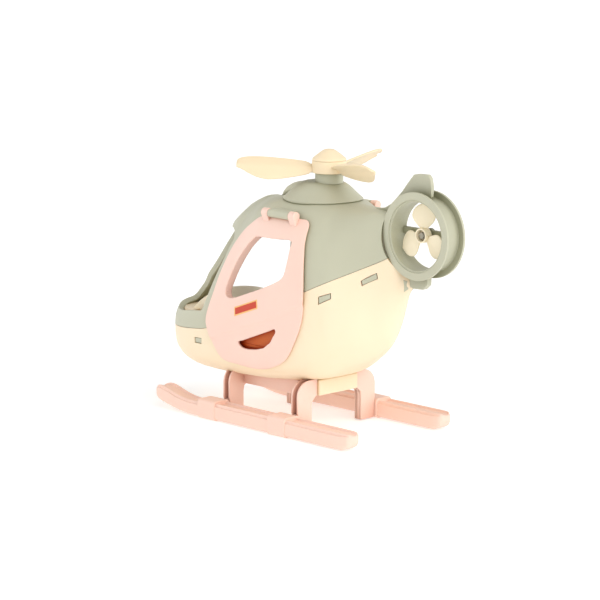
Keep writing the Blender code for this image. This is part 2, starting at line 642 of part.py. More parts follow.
def build_undercarriage():
    legs = {"rear": build_leg(LEG_REAR_X), "front": build_leg(LEG_FRONT_X)}
    for word, leg in legs.items():
        leg.name = f"leg_{word}_left"
        mirrored(leg, f"leg_{word}_right")
    beam = box(LEG_REAR_X + LEG_DEPTH + GAP, LEG_FRONT_X - GAP, PEDESTAL_HALF + GAP, 26.0, 25.6, 36.0)
    beam = add_object("beam_left", beam, PINK)
    combine(beam, fuselage(GAP, "belly_seat"))
    mirrored(beam, "beam_right")
    mirrored(build_skid(), "skid_right")


def build_cabin():
    """Folded sheet: bulkhead behind the doors, floor and dashboard."""
    fold = [(-30, 98), (-22, 94), (-17, 62), (98, 62), (103, 77), (150, 75)]
    under = [(150, 73), (104.5, 75), (99.5, 60), (-19, 60), (-24, 92), (-31, 96)]
    tray = add_object("cabin_tray", prism(fold + under, -80, 80), ORANGE)
    room = fuselage(-WALL - 2 * GAP, "room", INSIDE_STATIONS, 28)
    combine(tray, room, "INTERSECT")
    return tray


def main():
    clear_scene()
    build_shells()
    build_clips()
    build_roof()
    build_tail()
    build_tail_rotor()
    build_main_rotor()
    mirrored(build_door(), "door_right")
    mirrored(build_hinge(), "hinge_block_right")
    build_undercarriage()
    build_cabin()
    nub = add_object("nose_nub", disc(2.0, NOSE_X + GAP + 0.1, NOSE_X + 2.4, (0, 61.5), "X", 20), DARK)
    for item in bpy.context.scene.objects:
        item.location.x += CENTRE_SHIFT_X * MM
        item.location.y += CENTRE_SHIFT_Y * MM
        for face in item.data.polygons:
            face.use_smooth = True
    return nub


main()
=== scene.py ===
import json
import math

import bmesh
import bpy
import numpy as np
from mathutils import Matrix, Vector
from mathutils.geometry import delaunay_2d_cdt


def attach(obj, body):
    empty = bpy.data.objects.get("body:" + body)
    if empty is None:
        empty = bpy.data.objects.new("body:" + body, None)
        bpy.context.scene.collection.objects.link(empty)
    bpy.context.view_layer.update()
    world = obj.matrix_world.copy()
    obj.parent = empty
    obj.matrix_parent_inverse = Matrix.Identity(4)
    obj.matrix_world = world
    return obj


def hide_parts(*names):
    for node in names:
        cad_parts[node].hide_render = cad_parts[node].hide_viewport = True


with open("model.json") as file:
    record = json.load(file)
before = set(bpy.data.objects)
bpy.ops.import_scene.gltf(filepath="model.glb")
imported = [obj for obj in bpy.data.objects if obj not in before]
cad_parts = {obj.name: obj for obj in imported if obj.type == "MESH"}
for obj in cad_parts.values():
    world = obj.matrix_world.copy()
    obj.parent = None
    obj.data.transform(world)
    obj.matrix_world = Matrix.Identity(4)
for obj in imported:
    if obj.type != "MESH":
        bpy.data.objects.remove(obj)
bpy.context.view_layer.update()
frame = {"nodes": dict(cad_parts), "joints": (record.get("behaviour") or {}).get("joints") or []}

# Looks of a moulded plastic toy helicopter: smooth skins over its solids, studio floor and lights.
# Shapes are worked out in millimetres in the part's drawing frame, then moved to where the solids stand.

MM = 0.001
AIRFRAME, MAIN, TAIL = "airframe", "main_rotor_set", "tail_rotor"
SIDES = {1: "left", -1: "right"}

# Driving sizes in millimetres
NOSE_X, NOSE_Z = 140.7, 61
WIDE_X, HALF_WIDTH, PLAN_POWER = 25, 46.8, 2.94
CHIN_X, CHIN_POWER, BELLY_Z = 60, 4, 31.5
TAIL_X, TAIL_CAP = -97, 1.6
WALL = 2.4
MAST_X, ROTOR_Z, ROTOR_RADIUS = -11, 195.6, 69
BLADE_ANGLES = (44, 164, 284)
DUCT_X, DUCT_Z = -108, 155.6
DUCT_FLANGE_R, DUCT_BODY_R, DUCT_BORE_R, DUCT_HALF, FLANGE_THICK = 32, 27.1, 25, 9.5, 2
SKID_Y, SKID_WIDTH, SKID_HEIGHT, SKID_CLEAR = 48.6, 15.2, 13, 0.6
LEG_REAR_X, LEG_FRONT_X, LEG_DEPTH = -20, 54.8, 7.2
PEDESTAL_HALF, PEDESTAL_Z = 20.4, 26.7
HINGE_X, HINGE_Y, HINGE_Z = -3, 42.6, 163.8
DOOR_LOW, DOOR_HIGH = 0.6, 2.7
DOME_X, DOME_R, DOME_SQUASH = -4.5, 31, 0.94

# Hull profile, each pair a station along X and a size there
HULL_WIDTH = [
    (-97, 3.5), (-92, 5), (-85, 10.5), (-75, 18.5), (-60, 31.8), (-45, 41.5), (-28, 46), (0, 46.8),
    (25, 46.8)]
HULL_MIDDLE = [(-97, 119), (-85, 113), (-75, 107), (-60, 98), (-28, 90), (25, 82), (85, 68), (125, 62)]
HULL_BOTTOM = [(-97, 116.5), (-88, 100), (-75, 69), (-60, 57.5), (-45, 49.7), (-22, 38.8), (25, 33)]
HULL_TOP = [
    (-97, 123), (-85, 140), (-75, 150), (-60, 158), (-50, 164), (-43, 168.6), (-33, 171.8), (-20, 173),
    (0, 173), (30, 171.2), (46, 168.5), (52, 166.8), (57, 164.7), (62, 162.6), (66, 160), (70, 157),
    (75, 152.8), (80, 146.9), (84, 141.2), (88, 135.2), (95, 126.5), (108, 110), (117, 99.5), (125, 90.5),
    (133, 80.5), (138, 73), (140, 68)]
UPPER_POWER = [
    (-97, 2.2), (-60, 2), (-45, 2.35), (-33, 2.95), (-15, 4.1), (0, 4.3), (15, 4.1), (30, 3.2), (45, 2.3),
    (57, 1.9), (70, 1.78), (90, 1.75), (108, 1.85), (120, 2.1), (128, 2.4), (135, 2.7)]
LOWER_POWER = [
    (-97, 1.9), (-75, 1.6), (-60, 1.95), (-45, 2.5), (-22, 3.6), (0, 4.2), (60, 4.1), (90, 4.1),
    (110, 3.65), (125, 3.2), (NOSE_X, 2.9)]
BOOM_WIDTH = [(-92, 9), (-82, 9.6), (-76, 11), (-70, 14.5), (-60, 20.5), (-45, 28), (-30, 30), (-15, 26)]
BOOM_TOP = [(-92, 168.5), (-75, 169.5), (-62, 170), (-52, 169.5), (-42, 167), (-30, 160), (-15, 150)]
BOOM_BOTTOM = [(-92, 131), (-82, 128), (-75, 124), (-60, 116), (-45, 108), (-30, 100)]
BOOM_POWER = [(-92, 4.5), (-72, 4.5), (-60, 3), (-45, 2.2), (-30, 2)]
RING_CENTRE = [
    (-97, 119), (-90, 125), (-80, 129), (-70, 126), (-60, 118), (-45, 106), (-28, 92), (25, 82), (85, 68),
    (125, 63), (135, 64), (NOSE_X, 64.3)]
BLEND = 9
BOOM_FRONT, BOOM_BACK, SKIN_REACH = -30, -90, 140
SEAM = [(-160, 170), (-88, 140), (-73, 131.5), (-48, 118), (-29, 108.5), (78, 67), (110, 63), (160, 60)]
SEAM_HALF, RIM_BEVEL = 0.12, 0.22

# Door outlines in side view
DOOR_OUTLINE = [
    (-25, 160.7), (-28.3, 157.8), (-29, 150), (-29.3, 144), (-30.5, 132.5), (-31.6, 108.4), (-30, 88.3),
    (-23.9, 73.1), (-12.3, 56.6), (4.9, 47.9), (21.3, 44.8), (41.8, 45.5), (57.1, 47.5), (66.5, 58.1),
    (72.2, 68.5), (73.8, 74.7), (71.8, 83.5), (67.6, 95), (60.9, 114.5), (53.8, 129.6), (42, 143.2),
    (27.5, 153.8), (18.3, 158.8), (4.4, 160.8)]
WINDOW_OUTLINE = [
    (-17.9, 145.5), (-17.4, 139.4), (-15.8, 130.5), (-12.4, 119.9), (-7.4, 115.4), (7.1, 108.8),
    (22.6, 102.9), (43.6, 95.7), (49.4, 96.2), (51.2, 100.1), (48.4, 108), (41.4, 120.9), (30.2, 135.1),
    (22, 142.5), (18.5, 144.6), (0, 145.2)]
SLOT_OUTLINE = [
    (37.1, 63.1), (-2.5, 78.3), (-3.6, 76.4), (2.5, 67.5), (10, 62.3), (18.4, 60), (27, 59), (33.9, 59.8)]
LABEL_OUTLINE = [(39.7, 89.6), (14.8, 98.7), (14.2, 91.7), (39.7, 82.5)]
OPENING_MARGIN = 5

# Windscreen: pillar and lower rim in side view, front corner in space, centre post
PILLAR = [
    (63.5, 140.5), (60.5, 136.5), (62, 133), (67.2, 119.6), (70.6, 111.5), (75.6, 99), (79.6, 89),
    (82.6, 82), (85, 80.2), (97, 78.6), (106, 77), (115, 75.9), (124, 75.8)]
FRONT_CORNER = [
    (129, 21.5, 76.8), (131.4, 15.1, 78.4), (132.2, 8.9, 80), (130.8, 6, 82.6), (127.5, 5.1, 87)]
POST_HALF, POST_STATIONS = 4.6, (122, 115, 108, 100, 92, 88)
SCREEN_TOP = [(84, 140.6), (77, 142.6), (69, 142.8)]
BROW_AREA = [
    (46, 190), (46, 166), (60, 149), (66, 144), (72, 142), (79, 141), (84, 139.4), (100, 139), (100, 190)]
BROW_LIFT, BROW_EDGE, BROW_WIDE, BROW_FRONT, BROW_FADE = 1.7, 1.5, 6.5, 90, 4
POST_LIFT, POST_BACK, POST_FRONT, POST_WIDE = 1.9, 74, 124, 16
SCREEN_MARGIN, SCREEN_FADE, SCREEN_DEPTH, SCREEN_BEVEL = 2, 5, 2.4, 0.6
SLOT_SPOTS = [
    [(-67.9, 23.4, 120), (-76.6, 15.7, 126.1), (-77.5, 15.5, 121.8), (-68.7, 23.1, 116.4)],
    [(-42.5, 42.1, 107.2), (-51.2, 37.4, 110.7), (-51.4, 37.5, 106.3), (-42.6, 42.1, 101.3)],
]
FRONT_SLOT = [(82.2, 59), (91.6, 58.5), (91.4, 54), (82.4, 54.5)]
TAIL_SLOT = [(-92.6, 4.6, 121.5), (-95.6, 4, 121), (-95.6, 2.4, 115.5), (-92.6, 3.2, 114.4)]
DASH_HALF, DASH_ARCH, LEDGE_X = 27, 4, 97
DASH_PROFILE = [
    (70, 83.6), (72, 86.4), (80, 89.4), (90, 92.6), (96, 92), (103, 87.6), (112, 80), (118, 74.8),
    (117, 66), (97, 64), (91, 84), (74, 83)]
# Side view of a sheet inside the cabin behind the door slot, which carries painted shade.
SHADE_WALL_SIDE = [(-14, 92), (-12, 58), (6, 53), (36, 52), (50, 58), (48, 74), (10, 88)]
WALL_SINK, WALL_THICK = 3.4, 1.2
CLIP_GAP, CLIP_ROUND, CLIP_SINK, CLIP_THICK = 0.35, 0.4, 0.45, 2.2

joint_places = {joint["name"]: Vector(joint["pos_m"]) for joint in frame["joints"]}
SHIFT = joint_places["main_rotor_spin"] / MM - Vector((MAST_X, 0, ROTOR_Z))


# Curves
def smooth_table(table):
    """Monotone cubic through (station, size) pairs, for single values and arrays."""
    xs, ys = np.array(table, float).T
    steps = np.diff(xs)
    slopes = np.diff(ys) / steps
    tangents = np.zeros_like(xs)
    tangents[0], tangents[-1] = slopes[0], slopes[-1]
    product = slopes[:-1] * slopes[1:]
    total = slopes[:-1] + slopes[1:]
    tangents[1:-1] = np.where(product > 0, 2 * product / np.where(total == 0, 1, total), 0)

    def value(x):
        x = np.clip(x, xs[0], xs[-1])
        i = np.clip(np.searchsorted(xs, x, side="right") - 1, 0, len(steps) - 1)
        t = (x - xs[i]) / steps[i]
        rest = 1 - t
        return ((1 + 2 * t) * rest ** 2 * ys[i] + t * rest ** 2 * steps[i] * tangents[i]
                + t * t * (3 - 2 * t) * ys[i + 1] - t * t * rest * steps[i] * tangents[i + 1])

    return value


def ease(t):
    t = np.clip(t, 0, 1)
    return t * t * (3 - 2 * t)


def crossing(below, low, high, rounds=22):
    """Value between low and high where below stops being true, by halving."""
    for _ in range(rounds):
        middle = (low + high) / 2
        under = below(middle)
        low, high = np.where(under, middle, low), np.where(under, high, middle)
    return (low + high) / 2


def resample(points, spacing, closed=True):
    """Points at even steps along a polyline, its corners kept."""
    points = [np.array(p, float) for p in points]
    ends = points + points[:1] if closed else points
    out = []
    for a, b in zip(ends, ends[1:]):
        count = max(1, int(round(np.linalg.norm(b - a) / spacing)))
        out += [a + (b - a) * k / count for k in range(count)]
    if not closed:
        out.append(ends[-1])
    return np.array(out)


def rounded(points, spacing=1.5):
    """Closed smooth loop through the points."""
    points = np.array(points, float)
    count = len(points)
    out = []
    for i in range(count):
        p0, p1, p2, p3 = (points[(i + k) % count] for k in (-1, 0, 1, 2))
        reach = np.linalg.norm(p2 - p1)
        steps = max(2, int(reach / spacing))
        m1 = (p2 - p0) / (np.linalg.norm(p1 - p0) + reach) * reach
        m2 = (p3 - p1) / (np.linalg.norm(p3 - p2) + reach) * reach
        for k in range(steps):
            t = k / steps
            out.append((1 + 2 * t) * (1 - t) ** 2 * p1 + t * (1 - t) ** 2 * m1
                       + t * t * (3 - 2 * t) * p2 - t * t * (1 - t) * m2)
    return np.array(out)


def shrunk(outline, margin):
    """Outline moved inward by a margin, corner by corner."""
    points = np.array(outline, float)
    before, after = np.roll(points, 1, 0), np.roll(points, -1, 0)
    area = np.sum(before[:, 0] * points[:, 1] - points[:, 0] * before[:, 1])
    sign = 1 if area > 0 else -1

    def normal(run):
        run = run / np.linalg.norm(run, axis=1)[:, None]
        return np.stack([-run[:, 1], run[:, 0]], 1) * sign

    first, second = normal(points - before), normal(after - points)
    mean = first + second
    mean /= np.linalg.norm(mean, axis=1)[:, None]
    return points + mean * margin / np.maximum(np.sum(mean * first, 1), 0.5)[:, None]


def inside(points, loop):
    """Which of the points lie in a closed loop."""
    points, loop = np.asarray(points, float), np.asarray(loop, float)
    a, b = loop, np.roll(loop, -1, 0)
    x, y = points[:, 0][:, None], points[:, 1][:, None]
    crosses = (a[:, 1] > y) != (b[:, 1] > y)
    height = np.where(b[:, 1] == a[:, 1], 1, b[:, 1] - a[:, 1])
    hit = x < a[:, 0] + (y - a[:, 1]) / height * (b[:, 0] - a[:, 0])
    return np.sum(crosses & hit, 1) % 2 == 1


def distance_to(points, line, closed=True):
    """Distance from each point to a polyline."""
    points, line = np.asarray(points, float), np.asarray(line, float)
    a, b = (line, np.roll(line, -1, 0)) if closed else (line[:-1], line[1:])
    run = b - a
    square = np.maximum(np.sum(run * run, 1), 1e-12)
    best = np.empty(len(points))
    for start in range(0, len(points), 2000):
        part = points[start:start + 2000, None, :]
        t = np.clip(np.sum((part - a) * run, 2) / square, 0, 1)
        best[start:start + 2000] = np.linalg.norm(part - a - t[..., None] * run, axis=2).min(1)
    return best


# Fuselage surface: a hull and a boom that flow into each other
half_width_table, middle_table, bottom_table, top_table = (
    smooth_table(table) for table in (HULL_WIDTH, HULL_MIDDLE, HULL_BOTTOM, HULL_TOP))
upper_power, lower_power, ring_centre = (
    smooth_table(table) for table in (UPPER_POWER, LOWER_POWER, RING_CENTRE))
boom_width, boom_top, boom_bottom, boom_power = (
    smooth_table(table) for table in (BOOM_WIDTH, BOOM_TOP, BOOM_BOTTOM, BOOM_POWER))


def bowed(x, start, power):
    """Share of a size that is left at x, from the whole at the start to none at the nose."""
    share = np.clip((x - start) / (NOSE_X - start), 0, 1)
    return np.maximum(0, 1 - share ** power) ** (1 / power)


def hull_half_width(x):
    return np.where(x <= WIDE_X, half_width_table(x), HALF_WIDTH * bowed(x, WIDE_X, PLAN_POWER))


def hull_bottom(x):
    start = HULL_BOTTOM[-1][1]
    chin = NOSE_Z - (NOSE_Z - BELLY_Z) * bowed(x, CHIN_X, CHIN_POWER)
    slope = start + (BELLY_Z - start) * np.clip((x - WIDE_X) / (CHIN_X - WIDE_X), 0, 1)
    return np.where(x <= WIDE_X, bottom_table(x), np.where(x <= CHIN_X, slope, chin))


def depth_in(y, z, half, middle, up, down, power_up, power_down):
    """Signed depth in a rounded section, near enough a distance, below zero inside."""
    height = np.where(z >= middle, up, down)
    power = np.where(z >= middle, power_up, power_down)
    level = (np.abs(y / half) ** power + np.abs((z - middle) / height) ** power) ** (1 / power) - 1
    return level * np.minimum(half, height)


turn = np.linspace(0, math.pi / 2, 4001)
nose_x = WIDE_X + (NOSE_X - WIDE_X) * np.sin(turn) ** (2 / PLAN_POWER)
nose_y = HALF_WIDTH * np.cos(turn) ** (2 / PLAN_POWER)
nose_arc = WIDE_X + np.concatenate([[0], np.cumsum(np.hypot(np.diff(nose_x), np.diff(nose_y)))])
U_FIRST, U_LAST = TAIL_X - TAIL_CAP, nose_arc[-1] - 1.2

# On the skin, a place is (u, height): u in millimetres along it, and its angle scaled to about millimetres
ANGLE_SCALE = 48
TOP = math.pi / 2 * ANGLE_SCALE


def station(u):
    """X and ring scale at a place along the skin, where u runs with the arc of the plan outline."""
    x = np.where(u <= WIDE_X, u, np.interp(u, nose_arc, nose_x))
    tail = np.clip((TAIL_X - u) / TAIL_CAP, 0, 1)
    cap_x = TAIL_X - TAIL_CAP * 0.8 * np.sin(tail * math.pi / 2)
    return np.where(u < TAIL_X, cap_x, x), np.cos(tail * math.pi / 2)


def skin(u, angle):
    """Point of the fuselage surface, with the angle up from the left side, in radians."""
    u, angle = np.broadcast_arrays(np.asarray(u, float), np.asarray(angle, float))
    x, scale = station(u)
    centre = ring_centre(x)
    half, middle = np.maximum(hull_half_width(x), 0.3), middle_table(x)
    up, down = np.maximum(top_table(x) - middle, 0.4), np.maximum(middle - hull_bottom(x), 0.4)
    boom_half, boom_up, power_boom = boom_width(x), (boom_top(x) - boom_bottom(x)) / 2, boom_power(x)
    boom_middle = boom_bottom(x) + boom_up
    boom_end = np.clip(x - BOOM_FRONT, 0, 40) + np.clip(BOOM_BACK - x, 0, 20) * 3
    power_up, power_down = upper_power(x), lower_power(x)
    side, rise = np.cos(angle), np.sin(angle)

    def under_skin(reach):
        y, z = reach * side, centre + reach * rise
        hull = depth_in(y, z, half, middle, up, down, power_up, power_down)
        boom = depth_in(y, z, boom_half, boom_middle, boom_up, boom_up, power_boom, 3) + boom_end
        near = np.clip(1 - np.abs(hull - boom) / BLEND, 0, 1)
        return np.minimum(hull, boom) - near ** 2 * BLEND / 4 < 0

    reach = crossing(under_skin, np.zeros_like(u), np.full_like(u, SKIN_REACH), 24) * scale
    return np.stack([x, reach * side, centre + reach * rise], -1)


def unit(vectors):
    return vectors / np.maximum(np.linalg.norm(vectors, axis=-1, keepdims=True), 1e-9)


def slopes(value, u, angle, step_u, step_a):
    """How fast a value over the skin changes along u and along the angle."""
    return ((value(u + step_u, angle) - value(u - step_u, angle)) / (2 * step_u),
            (value(u, angle + step_a) - value(u, angle - step_a)) / (2 * step_a))


def place_of_x(x):
    return np.where(x <= WIDE_X, x, np.interp(x, nose_x, nose_arc))


def from_side(points):
    """Places of points given in side view as (x, z), on the left half."""
    x, z = np.asarray(points, float).T
    u = np.clip(place_of_x(x), U_FIRST, U_LAST)
    quarter = np.full(len(u), math.pi / 2)
    angle = crossing(lambda turn: skin(u, turn)[:, 2] < z, -quarter, quarter)
    return np.stack([u, angle * ANGLE_SCALE], 1)


def from_space(points):
    """Places of points near the skin, given in space."""
    x, y, z = np.asarray(points, float).T
    return np.stack([place_of_x(x), np.arctan2(z - ring_centre(x), y) * ANGLE_SCALE], 1)


def from_top(x, y):
    """Places on the upper skin at stations x with side distance y."""
    u = place_of_x(np.asarray(x, float))
    quarter = np.full(len(u), math.pi / 2)
    angle = crossing(lambda turn: skin(u, turn)[:, 1] > y, 0 * quarter, quarter)
    return np.stack([u, angle * ANGLE_SCALE], 1)


# Meshes
def place_object(name, data):
    item = bpy.data.objects.new(name, data)
    bpy.context.scene.collection.objects.link(item)
    return item


def to_object(name, corners, faces, material, node=None, body=AIRFRAME, normals=None):
    """Object from millimetre coordinates, which rides on a body and may stand for a solid."""
    mesh = bpy.data.meshes.new(name)
    places = (np.asarray(corners, float) + np.array(SHIFT)) * MM
    mesh.from_pydata(places.tolist(), [], [tuple(int(i) for i in face) for face in faces])
    mesh.validate()
    mesh.polygons.foreach_set("use_smooth", [True] * len(mesh.polygons))
    if normals is not None:
        mesh.normals_split_custom_set_from_vertices(unit(np.asarray(normals, float)).tolist())
    item = place_object(name, mesh)
    if normals is None:
        item.modifiers.new("even", "WEIGHTED_NORMAL").keep_sharp = True
    mesh.materials.append(material)
    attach(item, body)
    if node:
        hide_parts(node)


def from_bmesh(name, shape, material, node=None, body=AIRFRAME):
    bmesh.ops.recalc_face_normals(shape, faces=shape.faces)
    shape.verts.index_update()
    corners = [tuple(v.co) for v in shape.verts]
    faces = [[v.index for v in face.verts] for face in shape.faces]
    shape.free()
    to_object(name, corners, faces, material, node, body)


def soften(shape, width, segments=3, least=22):
    """Round the edges of a bmesh that turn by more than an angle."""
    bmesh.ops.recalc_face_normals(shape, faces=shape.faces)
    edges = [e for e in shape.edges if len(e.link_faces) == 2 and e.calc_face_angle() > math.radians(least)]
    bmesh.ops.bevel(shape, geom=edges, offset=width, segments=segments, profile=0.5, affect="EDGES",
                    clamp_overlap=True)
    return shape


def loft(rings, closed=False):
    """Skin through rings, with end faces or, where closed, back to the first ring."""
    shape = bmesh.new()
    rows = [[shape.verts.new(p) for p in ring] for ring in rings]
    count = len(rows[0])
    for a, b in zip(rows, rows[1:] + rows[:int(closed)]):
        for k in range(count):
            shape.faces.new((a[k], a[(k + 1) % count], b[(k + 1) % count], b[k]))
    if not closed:
        shape.faces.new(rows[0])
        shape.faces.new(rows[-1])
    return shape


def arc(centre, radius, angles):
    return [(centre[0] + radius * math.cos(a), centre[1] + radius * math.sin(a)) for a in angles]


def lifted(points, level, axis):
    """Flat points in space, at a level along an axis."""
    order = {"X": (2, 0, 1), "Y": (0, 2, 1), "Z": (0, 1, 2)}[axis]
    return [Vector([(a, b, level)[k] for k in order]) for a, b in points]


def prism(outline, low, high, axis="Y"):
    """Straight body over an outline. Axis Y takes (x, z) points and X takes (y, z)."""
    return loft([lifted(outline, level, axis) for level in (low, high)])


def box(x0, x1, y0, y1, z0, z1):
    return prism([(x0, z0), (x1, z0), (x1, z1), (x0, z1)], y0, y1)


def mirrored(shape, side):
    """The shape as it is for the left side, its mirror image for the right."""
    shape.transform(Matrix.Scale(side, 4, (0, 1, 0)))
    return shape


def joined(*shapes):
    """One bmesh from several."""
    whole = bmesh.new()
    for shape in shapes:
        corners = {v: whole.verts.new(v.co) for v in shape.verts}
        for face in shape.faces:
            whole.faces.new([corners[v] for v in face.verts])
        shape.free()
    return whole


def filleted(profile, radius, closed=True):
    """Polyline with its corners rounded off."""
    points = [Vector(p) for p in profile]
    count = len(points)
    out = []
    for i, here in enumerate(points):
        if not closed and i in (0, count - 1):
            out.append(tuple(here))
            continue
        before, after = points[i - 1] - here, points[(i + 1) % count] - here
        cut = min(radius, before.length * 0.45, after.length * 0.45)
        start, end = here + before.normalized() * cut, here + after.normalized() * cut
        for t in np.linspace(0, 1, 5):
            out.append(tuple(start * (1 - t) ** 2 + here * 2 * t * (1 - t) + end * t * t))
    return out


def turned(profile, sides, centre, axis="Z", closed=False):
    """Turned body from (radius, level) points, as a closed ring section or with end faces."""
    angles = 2 * math.pi * np.arange(sides) / sides
    return loft([lifted(arc(centre, radius, angles), level, axis) for radius, level in profile], closed)


# Skin panels
ROUND_SHARE = 0.29
FLIP = np.array([1, -1, 1])


def panel_mesh(loops, lines, keep, spacing):
    """Triangles over what keep accepts of the left half."""
    across = np.linspace(U_FIRST, U_LAST, int((U_LAST - U_FIRST) / spacing) + 1)
    up = np.linspace(-TOP, TOP, int(2 * TOP / spacing) + 1)
    points = np.stack(np.meshgrid(across, up, indexing="ij"), -1).reshape(-1, 2)
    borders = [(loop, True) for loop in loops] + [(line, False) for line in lines]
    for line, closed in borders:
        points = points[distance_to(points, line, closed) > spacing * 0.5]
    every, edges = [tuple(p) for p in points], []
    for line, closed in borders:
        start, count = len(every), len(line)
        every += [tuple(p) for p in line]
        edges += [(start + k, start + (k + 1) % count) for k in range(count if closed else count - 1)]
    result = delaunay_2d_cdt([Vector(p) for p in every], edges, [], 0, 1e-5)
    places = np.array([tuple(v) for v in result[0]])
    triangles = np.array([f for f in result[2] if len(f) == 3])
    centre = places[triangles].mean(1)
    kept = triangles[keep(centre) & (np.abs(centre[:, 1]) < TOP)]
    used, triangles = np.unique(kept, return_inverse=True)
    return places[used], triangles.reshape(-1, 3)


def raised(places, lift):
    """Points and normals of the skin lifted by lift(x, y, z) along its normal."""
    u, angle = places[:, 0], places[:, 1] / ANGLE_SCALE
    point = skin(u, angle)
    along_u, along_a = slopes(skin, u, angle, 0.4, 0.006)
    normal = unit(np.cross(along_a, along_u))
    rise_u, rise_a = slopes(lambda *spot: lift(skin(*spot)), u, angle, 0.6, 0.01)
    tilted = np.cross(along_a + rise_a[:, None] * normal, along_u + rise_u[:, None] * normal)
    middle = np.abs(np.abs(angle) - math.pi / 2) < 1e-5
    tilted[middle, 1] = 0
    normal[middle, 1] = 0
    surface = point + lift(point)[:, None] * unit(normal)
    surface[middle, 1] = 0
    return surface, unit(tilted), middle


def thick_panel(places, triangles, lift, depth, bevel):
    """Closed sheet with an outer skin, rounded rim and inner skin."""
    point, normal, middle = raised(places, lift)
    count = len(point)
    faces = triangles[:, ::-1]
    a, b, c = (point[faces[:, k]] for k in range(3))
    facing = np.sum(np.cross(b - a, c - a) * normal[faces].mean(1), 1)
    faces = np.where((facing < 0)[:, None], faces[:, ::-1], faces)
    pairs = np.concatenate([faces[:, (0, 1)], faces[:, (1, 2)], faces[:, (2, 0)]])
    keys = np.sort(pairs, 1)
    _, where, times = np.unique(keys[:, 0] * count + keys[:, 1], return_index=True, return_counts=True)
    rim = pairs[where[times == 1]]
    at_nose = np.abs(places[:, 0] - U_LAST) < 1e-4
    rim = rim[~(middle[rim].all(1) | at_nose[rim].all(1))]

    outward = np.zeros_like(point)
    run = unit(point[rim[:, 1]] - point[rim[:, 0]])
    for end in (0, 1):
        np.add.at(outward, rim[:, end], unit(np.cross(run, normal[rim[:, end]])))
    outward[middle, 1] = 0
    outward = unit(outward)
    border = np.unique(rim)
    spot = np.full(count, -1)
    spot[border] = np.arange(len(border))

    P, N, B = point[border], normal[border], outward[border]
    thick = depth(point)
    D, b = thick[border][:, None], bevel(point)[border][:, None]
    cut = ROUND_SHARE * b
    rows = [(P - cut * (B + N), N + B), (P - b * N, B), (P - (D - b) * N, B),
            (P - (D - cut) * N - cut * B, B - N)]
    outer = point.copy()
    outer[border] = P - b * B
    inner = point - thick[:, None] * normal
    inner[border] = P - D * N - b * B
    corners = [outer] + [row for row, _ in rows] + [inner]
    normals = [normal] + [row for _, row in rows] + [-normal]

    plain, back = np.arange(count), count + len(rows) * len(border)
    levels = [plain] + [count + r * len(border) + spot for r in range(len(rows))] + [plain + back]
    i, j = rim.T
    quads = [np.stack([over[j], over[i], under[i], under[j]], 1) for over, under in zip(levels, levels[1:])]
    polygons = [tuple(p) for block in [faces, *quads, faces[:, ::-1] + back] for p in block]
    on_middle = np.concatenate([middle] + [middle[border]] * len(rows) + [middle])
    nose_row = np.nonzero(at_nose)[0]
    nose_row = nose_row[np.argsort(places[nose_row, 1])]
    return np.concatenate(corners), np.concatenate(normals), polygons, on_middle, nose_row, back


def only_used(corners, normals, polygons):
    """The same faces without the corners that none of them uses."""
    used = np.unique(np.concatenate([np.array(p) for p in polygons]))
    order = np.full(len(corners), -1)
    order[used] = np.arange(len(used))
    return corners[used], normals[used], [tuple(order[list(p)]) for p in polygons]


def both_sides(corners, normals, polygons, on_middle, nose_row, back):
    """Left half joined to its mirror image, and the two closed over the nose."""
    count = len(corners)
    twin = np.arange(count) + count
    twin[on_middle] = np.arange(count)[on_middle]
    every = polygons + [tuple(twin[list(p)][::-1]) for p in polygons]
    for low, high in zip(nose_row, nose_row[1:]):
        outer = [low, high, twin[high], twin[low]]
        inner = [twin[back + low], twin[back + high], back + high, back + low]
        every += [tuple(dict.fromkeys(outer)), tuple(dict.fromkeys(inner))]
    every = [p for p in every if len(p) > 2]
    corners, normals = (np.concatenate([half, half * FLIP]) for half in (corners, normals))
    return only_used(corners, normals, every)


def mirror(corners, normals, polygons):
    return corners * FLIP, normals * FLIP, [tuple(p[::-1]) for p in polygons]


# Outlines laid on the skin
PANEL_SPACING = 2.3
doorway = from_side(rounded(shrunk(DOOR_OUTLINE, OPENING_MARGIN), 1.8))
door_edge = from_side(rounded(DOOR_OUTLINE, 1.6))
window_edge = from_side(rounded(WINDOW_OUTLINE, 1.3))
slot_edge = from_side(rounded(resample(SLOT_OUTLINE, 5), 1.2))
label_edge = from_side(filleted(LABEL_OUTLINE, 0.8))
post_line = from_top(POST_STATIONS, POST_HALF)
screen_line = [from_side(PILLAR), from_space(FRONT_CORNER), post_line, from_side(SCREEN_TOP)]
screen_edge = resample(rounded(np.concatenate(screen_line), 1.4), 1.6)

nose_part = np.interp(np.arange(WIDE_X, U_LAST, 2), nose_arc, nose_x)
seam_x = np.concatenate([np.arange(TAIL_X, WIDE_X, 2), nose_part])
seam_z = np.interp(seam_x, *np.array(SEAM, float).T)
seam_z = np.convolve(np.pad(seam_z, 3, "edge"), np.ones(7) / 7, "valid")


def seam_line(offset):
    """Joint of the two shells as a line over the whole left half."""
    line = from_side(np.stack([seam_x, seam_z + offset], 1))
    line[:, 0] = place_of_x(seam_x)
    return np.concatenate([[[U_FIRST, line[0, 1]]], line, [[U_LAST, line[-1, 1]]]])


def duct_circle(radius):
    """Circle around the tail ring, in side view, laid on the skin."""
    turns = np.radians(np.arange(-72, 75, 2.5))
    circle = np.stack([DUCT_X + radius * np.cos(turns), DUCT_Z + radius * np.sin(turns)], 1)
    line = from_side(circle[circle[:, 0] > TAIL_X])
    line[np.abs(line[:, 1] - TOP) < 0.005, 1] = TOP
    return line


BODY_ROOM, FLANGE_ROOM = DUCT_BODY_R - 0.8, DUCT_FLANGE_R - 0.4
duct_lines = [duct_circle(BODY_ROOM), duct_circle(FLANGE_ROOM)]


